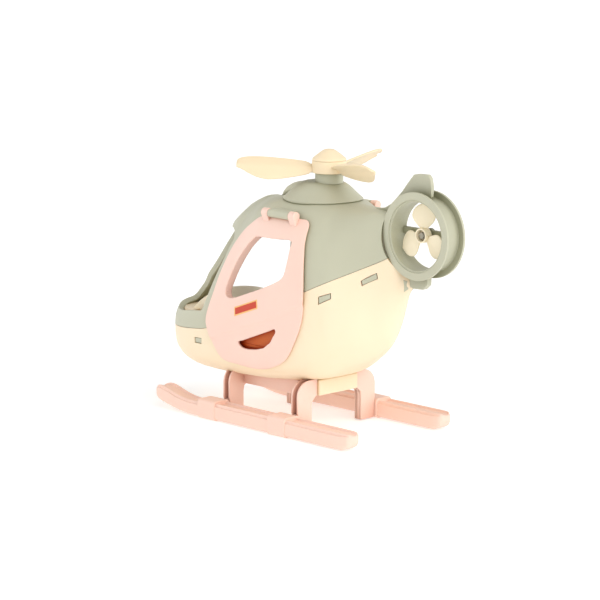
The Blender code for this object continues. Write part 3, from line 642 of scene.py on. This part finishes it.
def clear_of_duct(centre):
    """Which of the places on the skin lie outside the room of the tail ring."""
    point = skin(centre[:, 0], centre[:, 1] / ANGLE_SCALE)
    radius = np.hypot(point[:, 0] - DUCT_X, point[:, 2] - DUCT_Z)
    return radius > np.where(point[:, 1] < DUCT_HALF - 1, BODY_ROOM, FLANGE_ROOM)


def brow_lift(point):
    """Height of the lip over the windscreen."""
    side = point[..., (0, 2)].reshape(-1, 2)
    depth = distance_to(side, BROW_AREA) * np.where(inside(side, BROW_AREA), 1, -1)
    fade = ease((BROW_FRONT - side[:, 0]) / BROW_FADE)
    return (BROW_LIFT * ease((depth + BROW_EDGE) / BROW_WIDE) * fade).reshape(point.shape[:-1])


def shell_lift(point):
    """Lip over the windscreen and crown of the post between its halves."""
    x, y = point[..., 0], np.abs(point[..., 1])
    along = ease((x - POST_BACK) / 10) * ease((POST_FRONT - x) / 8)
    return brow_lift(point) + POST_LIFT * along * ease((POST_WIDE - y) / 8)


def even(value):
    """The same height or thickness at every point."""
    return lambda point: np.full(point.shape[:-1], float(value))


screen_space = raised(screen_edge, even(0))[0]
window_space = raised(window_edge, even(DOOR_HIGH))[0]


def near_screen(point):
    """Share, from 0 to 1, of being at the windscreen's border."""
    return 1 - ease((distance_to(point, screen_space) - SCREEN_MARGIN) / SCREEN_FADE)


def shell_depth(point):
    return WALL + SCREEN_DEPTH * near_screen(point)


def shell_bevel(point):
    return RIM_BEVEL + SCREEN_BEVEL * near_screen(point)


# Materials
# Painted shade: within this reach, ambient occlusion darkens and saturates the plastic's colour in hollows,
# creases and under parts.
PAINTED_SHADE_REACH, PAINTED_SHADE_TONE, PAINTED_SHADE_POWER = 0.022, 0.8, 1.7
PAINTED_SHADE_SPAN, PLASTIC_IOR = (0.3, 0.92), 1.47


def feed(node, values, sources):
    """Set the values of a node's inputs and link the sockets that feed the others."""
    for word, value in values.items():
        node.inputs[word].default_value = value
    for word, socket in sources.items():
        node.id_data.links.new(socket, node.inputs[word])
    return node


def add_node(tree, kind, values, sources):
    node = tree.nodes.new(f"ShaderNode{kind}")
    if kind == "Mix":
        node.data_type = "RGBA"
    return feed(node, values, sources)


def ranged(tree, source, before=(0, 1), after=(0, 1)):
    """Socket with the source's value mapped from one range to another."""
    words = ("From Min", "From Max", "To Min", "To Max")
    return add_node(tree, "MapRange", dict(zip(words, before + after)), {"Value": source}).outputs["Result"]


def plastic(name, colour, roughness=0.42, soft=0.08, grain=0.05, mottle=0.03, painted_shade=True):
    """Moulded plastic with a fine grain and slightly uneven colour; where the flag is on, ambient occlusion
    paints shade into its hollows, creases and undersides, darker and more saturated there.
    """
    material = bpy.data.materials.new(name)
    material.use_nodes = True
    tree = material.node_tree
    shader = tree.nodes["Principled BSDF"]
    place = tree.nodes.new("ShaderNodeTexCoord").outputs["Object"]

    def noise(scale, detail):
        node = add_node(tree, "TexNoise", {"Scale": scale, "Detail": detail}, {"Vector": place})
        return node.outputs["Fac"]

    dim, bright = ((*[min(1, c * share) for c in colour], 1) for share in (1 - mottle, 1 + mottle))
    tint = add_node(tree, "Mix", {"A": dim, "B": bright}, {"Factor": noise(28, 3)}).outputs["Result"]
    # Painted shade: occluded places blend toward a darker, more saturated tone of the colour.
    if painted_shade:
        openness = add_node(tree, "AmbientOcclusion", {"Distance": PAINTED_SHADE_REACH}, {})
        openness.samples = 8
        shade_colour = (*[PAINTED_SHADE_TONE * c ** PAINTED_SHADE_POWER for c in colour], 1)
        sources = {"Factor": ranged(tree, openness.outputs["AO"], PAINTED_SHADE_SPAN), "B": tint}
        tint = add_node(tree, "Mix", {"A": shade_colour}, sources).outputs["Result"]
    gloss = ranged(tree, noise(140, 4), after=(roughness - 0.06, roughness + 0.08))
    bump = add_node(tree, "Bump", {"Strength": grain, "Distance": 0.0002}, {"Height": noise(1800, 2)})
    feed(shader, {"IOR": PLASTIC_IOR, "Subsurface Weight": soft, "Subsurface Radius": (1, 0.8, 0.6),
                  "Subsurface Scale": 0.002},
         {"Base Color": tint, "Roughness": gloss, "Normal": bump.outputs["Normal"]})
    return material


green = plastic("green_toy_plastic", (0.545, 0.545, 0.415))
cream = plastic("cream_toy_plastic", (0.95, 0.8, 0.58))
pink = plastic("pink_toy_plastic", (0.94, 0.67, 0.57))
dark = plastic("dark_toy_plastic", (0.1, 0.1, 0.08), 0.5)
# Painted shade: a deep orange standing in for the warm, inter-reflected shade inside the cabin, not a
# plastic colour.
shade_orange = plastic("orange_painted_shade", (0.72, 0.16, 0.004), 0.5)
red = plastic("label_red", (0.6, 0.05, 0.015), 0.3, 0)
pale = plastic("label_rim", (0.93, 0.55, 0.2), 0.4, 0, painted_shade=False)
rotor_cream = plastic("rotor_plastic", (0.93, 0.77, 0.53), painted_shade=False)
# Painted light: cream plastic made lighter, standing in for light that the tail rotor inside its duct and
# the dashboard in the cabin don't get.
brightened_cream = plastic("cream_painted_light", (0.97, 0.86, 0.64), painted_shade=False)
skid_pink = plastic("skid_plastic", (0.94, 0.66, 0.55), painted_shade=False)
pin_grey = plastic("pin_plastic", (0.36, 0.34, 0.27), 0.35)


# Shells
clip_spots = [from_space(spot) for spot in SLOT_SPOTS] + [from_side(FRONT_SLOT)]


def outside(centre, loops):
    """Which of the places lie in none of the loops."""
    return ~np.any([inside(centre, loop) for loop in loops], 0)


def side_piece(name, loops, lift, depth, bevel, material, spacing, node=None, body=AIRFRAME):
    """Sheet laid over the skin inside the first loop and outside the others, made for both sides."""
    def keep(centre):
        return inside(centre, loops[0]) & outside(centre, loops[1:])

    mesh = panel_mesh(loops, [], keep, spacing)
    half = only_used(*thick_panel(*mesh, lift, depth, even(bevel))[:3])
    for side, word in SIDES.items():
        corners, normals, faces = half if side == 1 else mirror(*half)
        to_object(f"{name}_{word}_skin", corners, faces, material, node and f"{node}_{word}",
                  body.replace("SIDE", word), normals)


def build_shell(side, loops, above, lift, depth, bevel, material):
    """The shell above or below the joint line, over both halves."""
    seam = seam_line(SEAM_HALF * above)

    def keep(centre):
        on_side = (centre[:, 1] - np.interp(centre[:, 0], *seam.T)) * above > 0
        return on_side & clear_of_duct(centre) & outside(centre, loops)

    mesh = panel_mesh(loops, [seam] + duct_lines, keep, PANEL_SPACING)
    corners, normals, faces = both_sides(*thick_panel(*mesh, lift, depth, bevel))
    to_object(f"{side}_skin", corners, faces, material, f"{side}_shell", normals=normals)


def build_shells():
    holes = [resample(spot, 1.8) for spot in clip_spots]
    build_shell("upper", [doorway, screen_edge], 1, shell_lift, shell_depth, shell_bevel, green)
    build_shell("lower", [doorway] + holes, -1, even(0), even(WALL), even(RIM_BEVEL), cream)


def build_clips():
    for place, spot in zip(("rear", "middle", "front"), clip_spots):
        clip = np.array(filleted(shrunk(spot, CLIP_GAP), CLIP_ROUND))
        side_piece(f"clip_{place}", [clip], even(-CLIP_SINK), even(CLIP_THICK), 0.3, green, 1.6,
                   f"snap_clip_{place}")
    clip = np.array(filleted(from_space(TAIL_SLOT), CLIP_ROUND))
    side_piece("clip_tail", [clip], even(0.3), even(0.9), 0.1, green, 1)


def build_inside():
    hood = filleted(DASH_PROFILE, 1)
    rings = [[Vector((x, y, z - DASH_ARCH * (y / DASH_HALF) ** 2)) for x, z in hood]
             for y in np.linspace(-DASH_HALF, DASH_HALF, 19)]
    # The dashboard is cream plastic, made lighter as painted light.
    from_bmesh("dashboard", soften(loft(rings), 0.4, 2, 60), brightened_cream)
    # A sheet behind the door slot, coloured with the orange painted shade of the cabin's interior.
    wall = from_side(rounded(SHADE_WALL_SIDE, 2))
    side_piece("slot_shade_wall", [wall], even(-WALL_SINK), even(WALL_THICK), 0.3, shade_orange, 2.6)


def build_pedestal():
    x0, x1 = LEG_REAR_X - 2.1, LEG_FRONT_X + LEG_DEPTH + 2.3
    from_bmesh("pedestal", soften(box(x0, x1, -PEDESTAL_HALF, PEDESTAL_HALF, PEDESTAL_Z, 39), 1.2), cream)


# Doors
CREASE = [(70, 62), (58.9, 66.1), (17.8, 80.8), (13, 81.8), (-6.6, 90.5), (-34, 103)]
CREASE_DEPTH, CREASE_WIDE = 1, 3.6
WINDOW_RIM = 4.2
RIM_LIFT, LABEL_LIFT, LABEL_DEPTH = 0.12, 0.2, 0.3
EAR_REACH, EAR_RADIUS, EAR_HALF = 14.2, 3.5, 3.2
EAR_FOOT = [(-3.6, 158.5), (-2.6, 156.5), (-0.6, 155.6), (0.9, 157.2)]
BAR_RADIUS, BAR_HALF = 3.2, 10.9
PIN_RADIUS, PIN_HALF = 1.5, 17


def creased_lift(point):
    """Height of the door's skin, lower under the crease."""
    line = np.interp(point[..., 0], *np.array(CREASE[::-1], float).T)
    return DOOR_HIGH - CREASE_DEPTH * ease((line - point[..., 2]) / CREASE_WIDE)


def door_depth(point):
    """Thickness of the door, with a thick fold around the window."""
    near = 1 - ease((distance_to(point, window_space) - 1.2) / 1.8)
    return DOOR_HIGH - DOOR_LOW + WINDOW_RIM * near


def build_ears(side, word):
    outline = arc((HINGE_Y, HINGE_Z), EAR_RADIUS, np.radians(np.arange(-19, 222, 12)))
    outline += [(HINGE_Y + y, z) for y, z in EAR_FOOT]
    for number, middle in enumerate((HINGE_X - EAR_REACH, HINGE_X + EAR_REACH)):
        ear = soften(prism(outline, middle - EAR_HALF, middle + EAR_HALF, "X"), 1.2, 4, 40)
        from_bmesh(f"door_ear_{word}_{number}", mirrored(ear, side), pink, body=f"door_{word}")


def build_hinge_bar(side, word):
    outline = arc((HINGE_Y, HINGE_Z), BAR_RADIUS, np.radians(np.arange(-135, 106, 12)))
    outline += [(HINGE_Y - 7, HINGE_Z + 3.1), (HINGE_Y - 8, HINGE_Z - 2.5)]
    bar = soften(prism(outline, HINGE_X - BAR_HALF, HINGE_X + BAR_HALF, "X"), 0.5, 3, 40)
    pin = turned([(PIN_RADIUS, HINGE_X - PIN_HALF), (PIN_RADIUS, HINGE_X + PIN_HALF)], 20, (0, 0))
    pin.transform(Matrix(((0, 0, 1, 0), (1, 0, 0, HINGE_Y), (0, 1, 0, HINGE_Z), (0, 0, 0, 1))))
    from_bmesh(f"hinge_bar_{word}", mirrored(joined(bar, pin), side), green, f"hinge_block_{word}")


def build_doors():
    side_piece("door_panel", [door_edge, window_edge, slot_edge], creased_lift, door_depth, 0.75, pink,
               PANEL_SPACING, "door", "door_SIDE")
    inset = from_side(filleted(shrunk(LABEL_OUTLINE, 1), 0.6))
    layers = (("label_rim", label_edge, RIM_LIFT, pale), ("label", inset, LABEL_LIFT, red))
    for name, edge, lift, material in layers:
        height, depth = even(DOOR_HIGH + lift), even(LABEL_DEPTH)
        side_piece(name, [edge], height, depth, 0.05, material, 1.6, body="door_SIDE")
    for side, word in SIDES.items():
        build_ears(side, word)
        build_hinge_bar(side, word)


# Roof
ROUND_SIDES = 96
DOME_PROFILE = [
    (31, 172.3), (29.9, 173.2), (28.5, 174.4), (26.8, 175.9), (24.8, 177.8), (22.7, 179.8), (20.6, 181.6),
    (18.5, 183), (16.5, 184), (14.5, 184.6), (12.5, 184.95), (3, 185)]
SCOOP_WIDE, SCOOP_TALL = 8.5, 6
SCOOP_STATIONS = [
    (2, 177.5, 0.7), (8, 177.4, 1), (14, 177.2, 1), (20, 176.4, 1), (25, 175.2, 0.95),
    (29, 173.6, 0.87), (32, 171.8, 0.76), (34.4, 170, 0.6), (36, 168.6, 0.4), (36.8, 167.8, 0.15)]
MAST_PROFILE = [(3, 184), (10.5, 184), (10.5, 191.4), (3.1, 191.4), (3.1, 200.5)]


def roof_height(x, y):
    """Height of the upper skin over points of the plan."""
    place = from_top(x, np.abs(y))
    return skin(place[:, 0], place[:, 1] / ANGLE_SCALE)[:, 2]


def build_roof():
    turns = 2 * math.pi * np.arange(ROUND_SIDES) / ROUND_SIDES
    base = roof_height(DOME_X + DOME_R * np.cos(turns), DOME_R * DOME_SQUASH * np.sin(turns))
    rows = [(30.3, base - 3), (30.3, base + 0.25), (30.75, base + 0.4), (31, base + 0.9)]
    rows += [(r, np.maximum(z, base + 1 + 0.3 * k)) for k, (r, z) in enumerate(DOME_PROFILE)]
    rings = [[Vector((DOME_X + r * math.cos(t), r * DOME_SQUASH * math.sin(t), h))
              for t, h in zip(turns, heights)] for r, heights in rows]
    from_bmesh("roof_dome_skin", loft(rings), green, "roof_dome")
    rings = [[Vector((x, SCOOP_WIDE * size * math.cos(t), z + SCOOP_TALL * size * math.sin(t)))
              for t in turns[::2]] for x, z, size in SCOOP_STATIONS]
    from_bmesh("roof_scoop", loft(rings), green)
    mast = turned(filleted(MAST_PROFILE, 0.35, False), 64, (MAST_X, 0))
    from_bmesh("mast", mast, green, "mast_collar")


# Tail
BAR_BACK, BAR_FRONT, BOSS_RADIUS = -8.2, -4.8, 4.6
BAR_LOW, BAR_HIGH = DUCT_Z - 1.6, DUCT_Z + 3.4
LIP_R, LIP_STEP = 26.4, 1.1
PIN_TEETH, PIN_MIDDLE, PIN_FRONT = 8, 2.25, 2.4
TOP_FIN = [
    (-56, 166), (-61.5, 170.7), (-69.7, 171.8), (-76.9, 175.7), (-82.2, 180.8), (-87.5, 185.9),
    (-92.8, 192.3), (-98.9, 199), (-103, 199.8), (-113, 200.1), (-115.2, 197.8), (-116.6, 191.5),
    (-116.2, 184), (-112, 181.5), (-100, 181.5), (-88, 174), (-80, 166)]
BOTTOM_FIN = [
    (-94, 128), (-96.9, 116.7), (-100.4, 115.8), (-109.9, 116.2), (-114.1, 119.8), (-114.4, 129),
    (-108, 130)]
FIN_ROUND = 35


def build_duct():
    end, web = DUCT_HALF, DUCT_HALF - FLANGE_THICK
    half = [(DUCT_BORE_R, 0), (DUCT_BORE_R, end - LIP_STEP), (LIP_R, end - LIP_STEP), (LIP_R, end),
            (DUCT_FLANGE_R, end), (DUCT_FLANGE_R, web), (DUCT_BODY_R, web), (DUCT_BODY_R, 0)]
    section = half + [(r, -z) for r, z in half[-2:0:-1]]
    ring = turned(filleted(section, 0.55), 144, (DUCT_X, DUCT_Z), "Y", True)
    from_bmesh("duct_ring", ring, green, "tail_duct")
    reach = DUCT_BORE_R + 1
    bar = soften(box(DUCT_X - reach, DUCT_X + reach, BAR_BACK, BAR_FRONT, BAR_LOW, BAR_HIGH), 0.5)
    boss = filleted([(BOSS_RADIUS, BAR_BACK), (BOSS_RADIUS, BAR_FRONT + 1.2)], 0.3, False)
    from_bmesh("duct_bar", joined(bar, turned(boss, 48, (DUCT_X, DUCT_Z), "Y")), green)


def build_tail():
    build_duct()
    pin = []
    for angle in 2 * math.pi * np.arange(PIN_TEETH * 8) / (PIN_TEETH * 8):
        radius = PIN_MIDDLE + 0.3 * math.tanh(3 * math.cos(PIN_TEETH * angle))
        pin += arc((DUCT_X, DUCT_Z), radius, [angle])
    from_bmesh("tail_pin", prism(pin, BAR_BACK, PIN_FRONT), pin_grey, "tail_axle")
    from_bmesh("fin_top", soften(prism(TOP_FIN, -1.6, 1.6), 0.7, 4, FIN_ROUND), green, "top_fin")
    from_bmesh("fin_bottom", soften(prism(BOTTOM_FIN, -2.5, 2.5), 0.8, 4, FIN_ROUND), green, "bottom_fin")


# Rotors
def blade_section(high, low, sag, thick):
    """Closed section of a folded blade, as (across, lift), with rounded edges and fold."""
    fold_high, fold_low = min(1.2, high * 0.3), min(1.2, low * 0.3)
    top = [(-high, -sag), (-high * 0.5, -sag * 0.5), (-fold_high, -0.12), (0, 0), (fold_low, -0.12),
           (low * 0.5, -sag * 0.5), (low, -sag)]
    over = [(a, b + thick) for a, b in top]
    under = [(a, b - thick) for a, b in reversed(top)]
    bulge = [(0.7, 0.55), (1, 0), (0.7, -0.55)]
    edge_low = [(low + thick * a, -sag + thick * b) for a, b in bulge]
    edge_high = [(-high - thick * a, -sag - thick * b) for a, b in bulge]
    return over + edge_low + under + edge_high


def placed(rings, place, *turns):
    """Lofted blade, turned by (degrees, axis) pairs and moved to its place."""
    shape = loft(rings)
    for degrees, axis in turns:
        shape.transform(Matrix.Rotation(math.radians(degrees), 4, axis))
    shape.transform(Matrix.Translation(place))
    return shape


TAIL_BLADE_ANGLES, TAIL_PITCH = (90, 210, 330), 11
TAIL_HUB = [(5.4, -2.8), (5.4, 3.6), (4.3, 3.6), (4.3, -1.6), (2.9, -1.6), (2.9, -2.8)]
TAIL_BLADE_WIDTH = [
    (4.6, 2.6), (7.5, 5.6), (10.5, 8.6), (13.5, 10), (16.5, 9.5), (19.6, 7.4), (22.2, 3.8), (23.4, 0.4)]
TAIL_STATIONS = (4.6, 6, 8, 10, 12, 14, 16, 18, 19.5, 20.8, 21.8, 22.6, 23.2)


def build_tail_rotor():
    shapes = [turned(filleted(TAIL_HUB, 0.35), 72, (DUCT_X, DUCT_Z), "Y", True)]
    width = smooth_table(TAIL_BLADE_WIDTH)
    for angle in TAIL_BLADE_ANGLES:
        rings = []
        for reach in TAIL_STATIONS:
            half = max(float(width(reach)) - 0.8, 0.2)
            rings.append([Vector((a, b, reach)) for a, b in blade_section(half, half, 0.5, 0.8)])
        shapes.append(placed(rings, (DUCT_X, 0.4, DUCT_Z), (TAIL_PITCH, "Z"), (90 - angle, "Y")))
    from_bmesh("tail_rotor_skin", joined(*shapes), brightened_cream, "tail_rotor", TAIL)


BLADE_RISES = (1.7, 4.4, 2.8)
BLADE_SAG, LOW_SHARE = 1.1, 0.93
HUB_TOP, HUB_BOTTOM, HUB_RADIUS = ROTOR_Z + 5.3, ROTOR_Z - 3.9, 12.8

# Main blade, each row a reach, the widths of its high and low side, and its pitch
BLADE_TABLE = [
    (9, 5, 5, 28), (14.2, 5.2, 5.2, 32), (14.6, 5.9, 6.3, 34), (18, 7.2, 7.6, 38), (23, 7.9, 9, 39),
    (28, 8.4, 10.4, 40), (34, 8.9, 12.1, 40), (40, 9.3, 13.3, 40), (45, 9.6, 13.8, 40), (50, 9.7, 13.1, 40),
    (54, 9.7, 11.6, 40), (58, 9.5, 9.3, 40), (61, 9.2, 7, 40), (64, 8.7, 4.6, 40), (66, 8, 3.2, 40),
    (67.8, 6.8, 2.2, 40), (68.7, 5.6, 1.8, 40), (ROTOR_RADIUS, 4.2, 1.6, 40)]

# Cap, each pair a radius and a height over its lower edge
CAP_PROFILE = [
    (4, -0.2), (12.55, -0.2), (HUB_RADIUS, 0.1), (12.7, 0.9), (11.7, 2), (9.9, 3.4), (7.9, 5),
    (6, 6.4), (4.5, 7.4), (3.4, 7.8), (2.8, 8), (0.4, 8.05)]


def build_main_rotor():
    hub = [(HUB_RADIUS, HUB_BOTTOM), (HUB_RADIUS, HUB_TOP), (3.3, HUB_TOP), (3.3, HUB_BOTTOM)]
    shapes = [turned(filleted(hub, 0.7), ROUND_SIDES, (MAST_X, 0), "Z", True)]
    for angle, tip_rise in zip(BLADE_ANGLES, BLADE_RISES):
        rings = []
        for reach, high, low, pitch in BLADE_TABLE:
            tilt = Matrix.Rotation(math.radians(-pitch), 4, "X")
            thick = 0.9 if reach < 68 else 0.6
            section = blade_section(high - thick, low * LOW_SHARE - thick, BLADE_SAG, thick)
            rise = Vector((0, 0, tip_rise * ease((reach - 10) / 60)))
            rings.append([tilt @ Vector((reach, across, lift)) + rise for across, lift in section])
        shapes.append(placed(rings, (MAST_X, 0, ROTOR_Z), (angle, "Z")))
    from_bmesh("rotor_skin", joined(*shapes), rotor_cream, "main_rotor", MAIN)
    cap = turned([(r, HUB_TOP + 0.3 + up) for r, up in CAP_PROFILE], ROUND_SIDES, (MAST_X, 0))
    from_bmesh("rotor_cap_skin", cap, rotor_cream, "rotor_cap", MAIN)


# Undercarriage
LEG_RIB, LEG_WEB, SHOULDER = 1.4, 5.8, (28.8, 27.5)
COLLAR_LENGTH, COLLAR_ROUND, COLLAR_LEVELS = 18.6, 3, (3, 12.2)

# Skid section, each pair the distances in from its side and from its bottom or top
SKID_FOOT = [(3, 0), (0.9, 0.9), (0, 3)]
SKID_CROWN = [
    (0, 2.6), (0.25, 2.3), (1, 2.2), (1.25, 1.9), (1.25, 0.4), (1.6, 0), (2.6, 0), (2.9, 0.3), (3, 1.2),
    (3.4, 1.5)]

# Rear of a skid: station, rise of its middle, shares of its width and height
SKID_REAR = [
    (-87.3, 2.9, 0.3, 0.25), (-86.9, 2.5, 0.45, 0.42), (-86, 1.8, 0.7, 0.68), (-84.6, 1.2, 0.83, 0.8),
    (-83, 0.8, 0.9, 0.88), (-80.5, 0.3, 0.97, 0.96), (-78, 0, 1, 1), (-60, 0, 1, 1), (0, 0, 1, 1),
    (40, 0, 1, 1), (62, 0, 1, 1)]

# Front of a skid: station, heights of its bottom and top, share of its width
SKID_NOSE = [
    (70, 0.6, 12.8, 1), (76, 0.6, 12.2, 1), (82, 0.7, 12, 1), (87, 0.9, 12.2, 1), (92, 1.2, 12.8, 1),
    (97, 1.8, 13.6, 1), (101, 2.4, 14.5, 1), (105, 3.1, 15.6, 1), (109, 3.9, 16.8, 1), (113, 4.7, 17.8, 1),
    (116, 5.4, 18.3, 0.99), (119, 6.2, 18.4, 0.96), (121, 6.9, 18.1, 0.92), (123, 7.9, 17.4, 0.84),
    (124.3, 9, 16.6, 0.72), (125.2, 10.3, 15.6, 0.55), (125.6, 11.4, 14.6, 0.3)]


def leg_shape(x0):
    """Outward channel with two ribs, curved over the shoulder."""
    bend = np.radians(np.arange(90, -1, -7.5))
    foot = [(40.1, 14), (40.1, 1), (26, 1), (26, 20), (25.2, 23.5), (PEDESTAL_HALF, 27.6)]
    rib = [(PEDESTAL_HALF, 39.5)] + arc(SHOULDER, 12, bend) + [(40.8, 16)] + foot
    web = [(PEDESTAL_HALF, 34.5)] + arc(SHOULDER, 5.2, bend) + [(34, 15), (40.1, 15)] + foot
    ribs = [soften(prism(rib, x0 + a, x0 + b, "X"), 0.35, 2, 30)
            for a, b in ((0, LEG_RIB), (LEG_WEB, LEG_DEPTH))]
    return joined(*ribs, prism(web, x0 + 1, x0 + LEG_WEB + 0.4, "X"))


def skid_section(wide, tall):
    """Section with a stepped side and a sunk top inside a rim, as (y, z) about the middle."""
    half, top = SKID_WIDTH / 2 * wide, SKID_HEIGHT / 2 * tall
    right = [(half - a * wide, b * tall - top) for a, b in SKID_FOOT]
    right += [(half - a * wide, top - b * tall) for a, b in SKID_CROWN]
    return right + [(-y, z) for y, z in reversed(right)]


def collar_shape(x0):
    """Band around a skid, with rounded corners."""
    side, (low, high) = SKID_WIDTH / 2 + 0.6 - COLLAR_ROUND, COLLAR_LEVELS
    band = []
    for y, z, start in ((side, high, 0), (-side, high, 90), (-side, low, 180), (side, low, 270)):
        band += arc((y, z), COLLAR_ROUND, np.radians(start + np.arange(0, 91, 15)))
    return soften(prism(band, x0, x0 + COLLAR_LENGTH, "X"), 0.5, 3, 40)


def build_skids():
    path = [(x, SKID_CLEAR + SKID_HEIGHT / 2 + up, wide, tall) for x, up, wide, tall in SKID_REAR]
    path += [(x, (low + high) / 2, wide, (high - low) / SKID_HEIGHT) for x, low, high, wide in SKID_NOSE]
    rings = [[Vector((x, y, z + dz)) for y, dz in skid_section(wide, tall)] for x, z, wide, tall in path]
    skid = joined(loft(rings), collar_shape(LEG_REAR_X - 2), collar_shape(LEG_FRONT_X + 0.4))
    skid.transform(Matrix.Translation((0, SKID_Y, 0)))
    for side, word in SIDES.items():
        from_bmesh(f"skid_{word}_skin", mirrored(skid.copy(), side), skid_pink, f"skid_{word}")
        for place, x0 in (("rear", LEG_REAR_X), ("front", LEG_FRONT_X)):
            leg = mirrored(leg_shape(x0), side)
            from_bmesh(f"leg_{place}_{word}_skin", leg, pink, f"leg_{place}_{word}")
        beam = soften(box(LEG_REAR_X + 6, LEG_FRONT_X + 1, PEDESTAL_HALF, 26, 25.6, 37), 0.5)
        from_bmesh(f"beam_{word}_skin", mirrored(beam, side), pink, f"beam_{word}")


# Camera, light and floor
FLOOR_REACH, FLOOR_GLOW = 14, 0.4
SKY_SPAN, SKY_STRENGTH = (0.12, 0.4), 0.42
LAMPS = [("key", (-1.6, 0.05, 1.4), 1.95, 70, (1, 0.97, 0.93)),
         ("fill", (2, 1, 0.9), 0.75, 50, (1, 0.98, 0.97))]
CAMERA_PLACE, CAMERA_TARGET = (-1414.9, 1384.2, 457.6), (20.025, 0, 91.32)
CAMERA_LENS, CAMERA_SENSOR, CAMERA_ROLL = 160.69, 36, 0.09


def add_aimed(name, data, place, target, roll=0):
    """Camera or lamp at a place, turned toward a target."""
    item = place_object(name, data)
    turn = (target - place).to_track_quat("-Z", "Y").to_matrix().to_4x4()
    item.matrix_world = Matrix.Translation(place) @ turn @ Matrix.Rotation(math.radians(roll), 4, "Z")
    return item


def add_camera():
    shift = Vector((SHIFT.x, SHIFT.y, 0))
    place, target = ((Vector(spot) + shift) * MM for spot in (CAMERA_PLACE, CAMERA_TARGET))
    data = bpy.data.cameras.new("camera")
    data.lens, data.sensor_width = CAMERA_LENS, CAMERA_SENSOR
    bpy.context.scene.camera = add_aimed("camera", data, place, target, CAMERA_ROLL)


def add_floor():
    mesh = bpy.data.meshes.new("floor")
    corners = [(x * FLOOR_REACH, y * FLOOR_REACH, 0) for x, y in ((-1, -1), (1, -1), (1, 1), (-1, 1))]
    mesh.from_pydata(corners, [], [(0, 1, 2, 3)])
    material = bpy.data.materials.new("floor_paint")
    material.use_nodes = True
    feed(material.node_tree.nodes["Principled BSDF"],
         {"Base Color": (0.8, 0.8, 0.8, 1), "Roughness": 0.6, "IOR": PLASTIC_IOR,
          "Emission Color": (1, 1, 1, 1), "Emission Strength": FLOOR_GLOW}, {})
    mesh.materials.append(material)
    place_object("floor", mesh)


def light_scene():
    """White near the horizon and dimmer overhead, with two large soft lamps."""
    world = bpy.data.worlds.new("studio")
    world.use_nodes = True
    tree = world.node_tree
    sky = tree.nodes.new("ShaderNodeTexCoord").outputs["Generated"]
    place = add_node(tree, "SeparateXYZ", {}, {"Vector": sky})
    strength = ranged(tree, place.outputs["Z"], SKY_SPAN, (1, SKY_STRENGTH))
    feed(tree.nodes["Background"], {"Color": (1, 1, 1, 1)}, {"Strength": strength})
    bpy.context.scene.world = world
    for name, place, power, spread, colour in LAMPS:
        data = bpy.data.lights.new(name, "SUN")
        data.energy, data.angle, data.color = power, math.radians(spread), colour
        add_aimed(name, data, Vector(place), Vector())
    bpy.context.scene.view_settings.view_transform = "Standard"


def dress_solid(node, *materials):
    """Give a solid its looks, with the second material ahead of the tray's ledge."""
    mesh = frame["nodes"][node].data
    mesh.materials.clear()
    for material in materials:
        mesh.materials.append(material)
    edge = (LEDGE_X + SHIFT.x) * MM
    for face in mesh.polygons:
        face.material_index = int(len(materials) > 1 and face.center.x > edge)


build_shells()
build_clips()
build_inside()
build_pedestal()
build_doors()
build_roof()
build_tail()
build_tail_rotor()
build_main_rotor()
build_skids()
add_floor()
light_scene()
add_camera()
# The cabin tray is orange painted shade behind its ledge and its own cream ahead of it.
dress_solid("cabin_tray", shade_orange, cream)
dress_solid("nose_nub", dark)
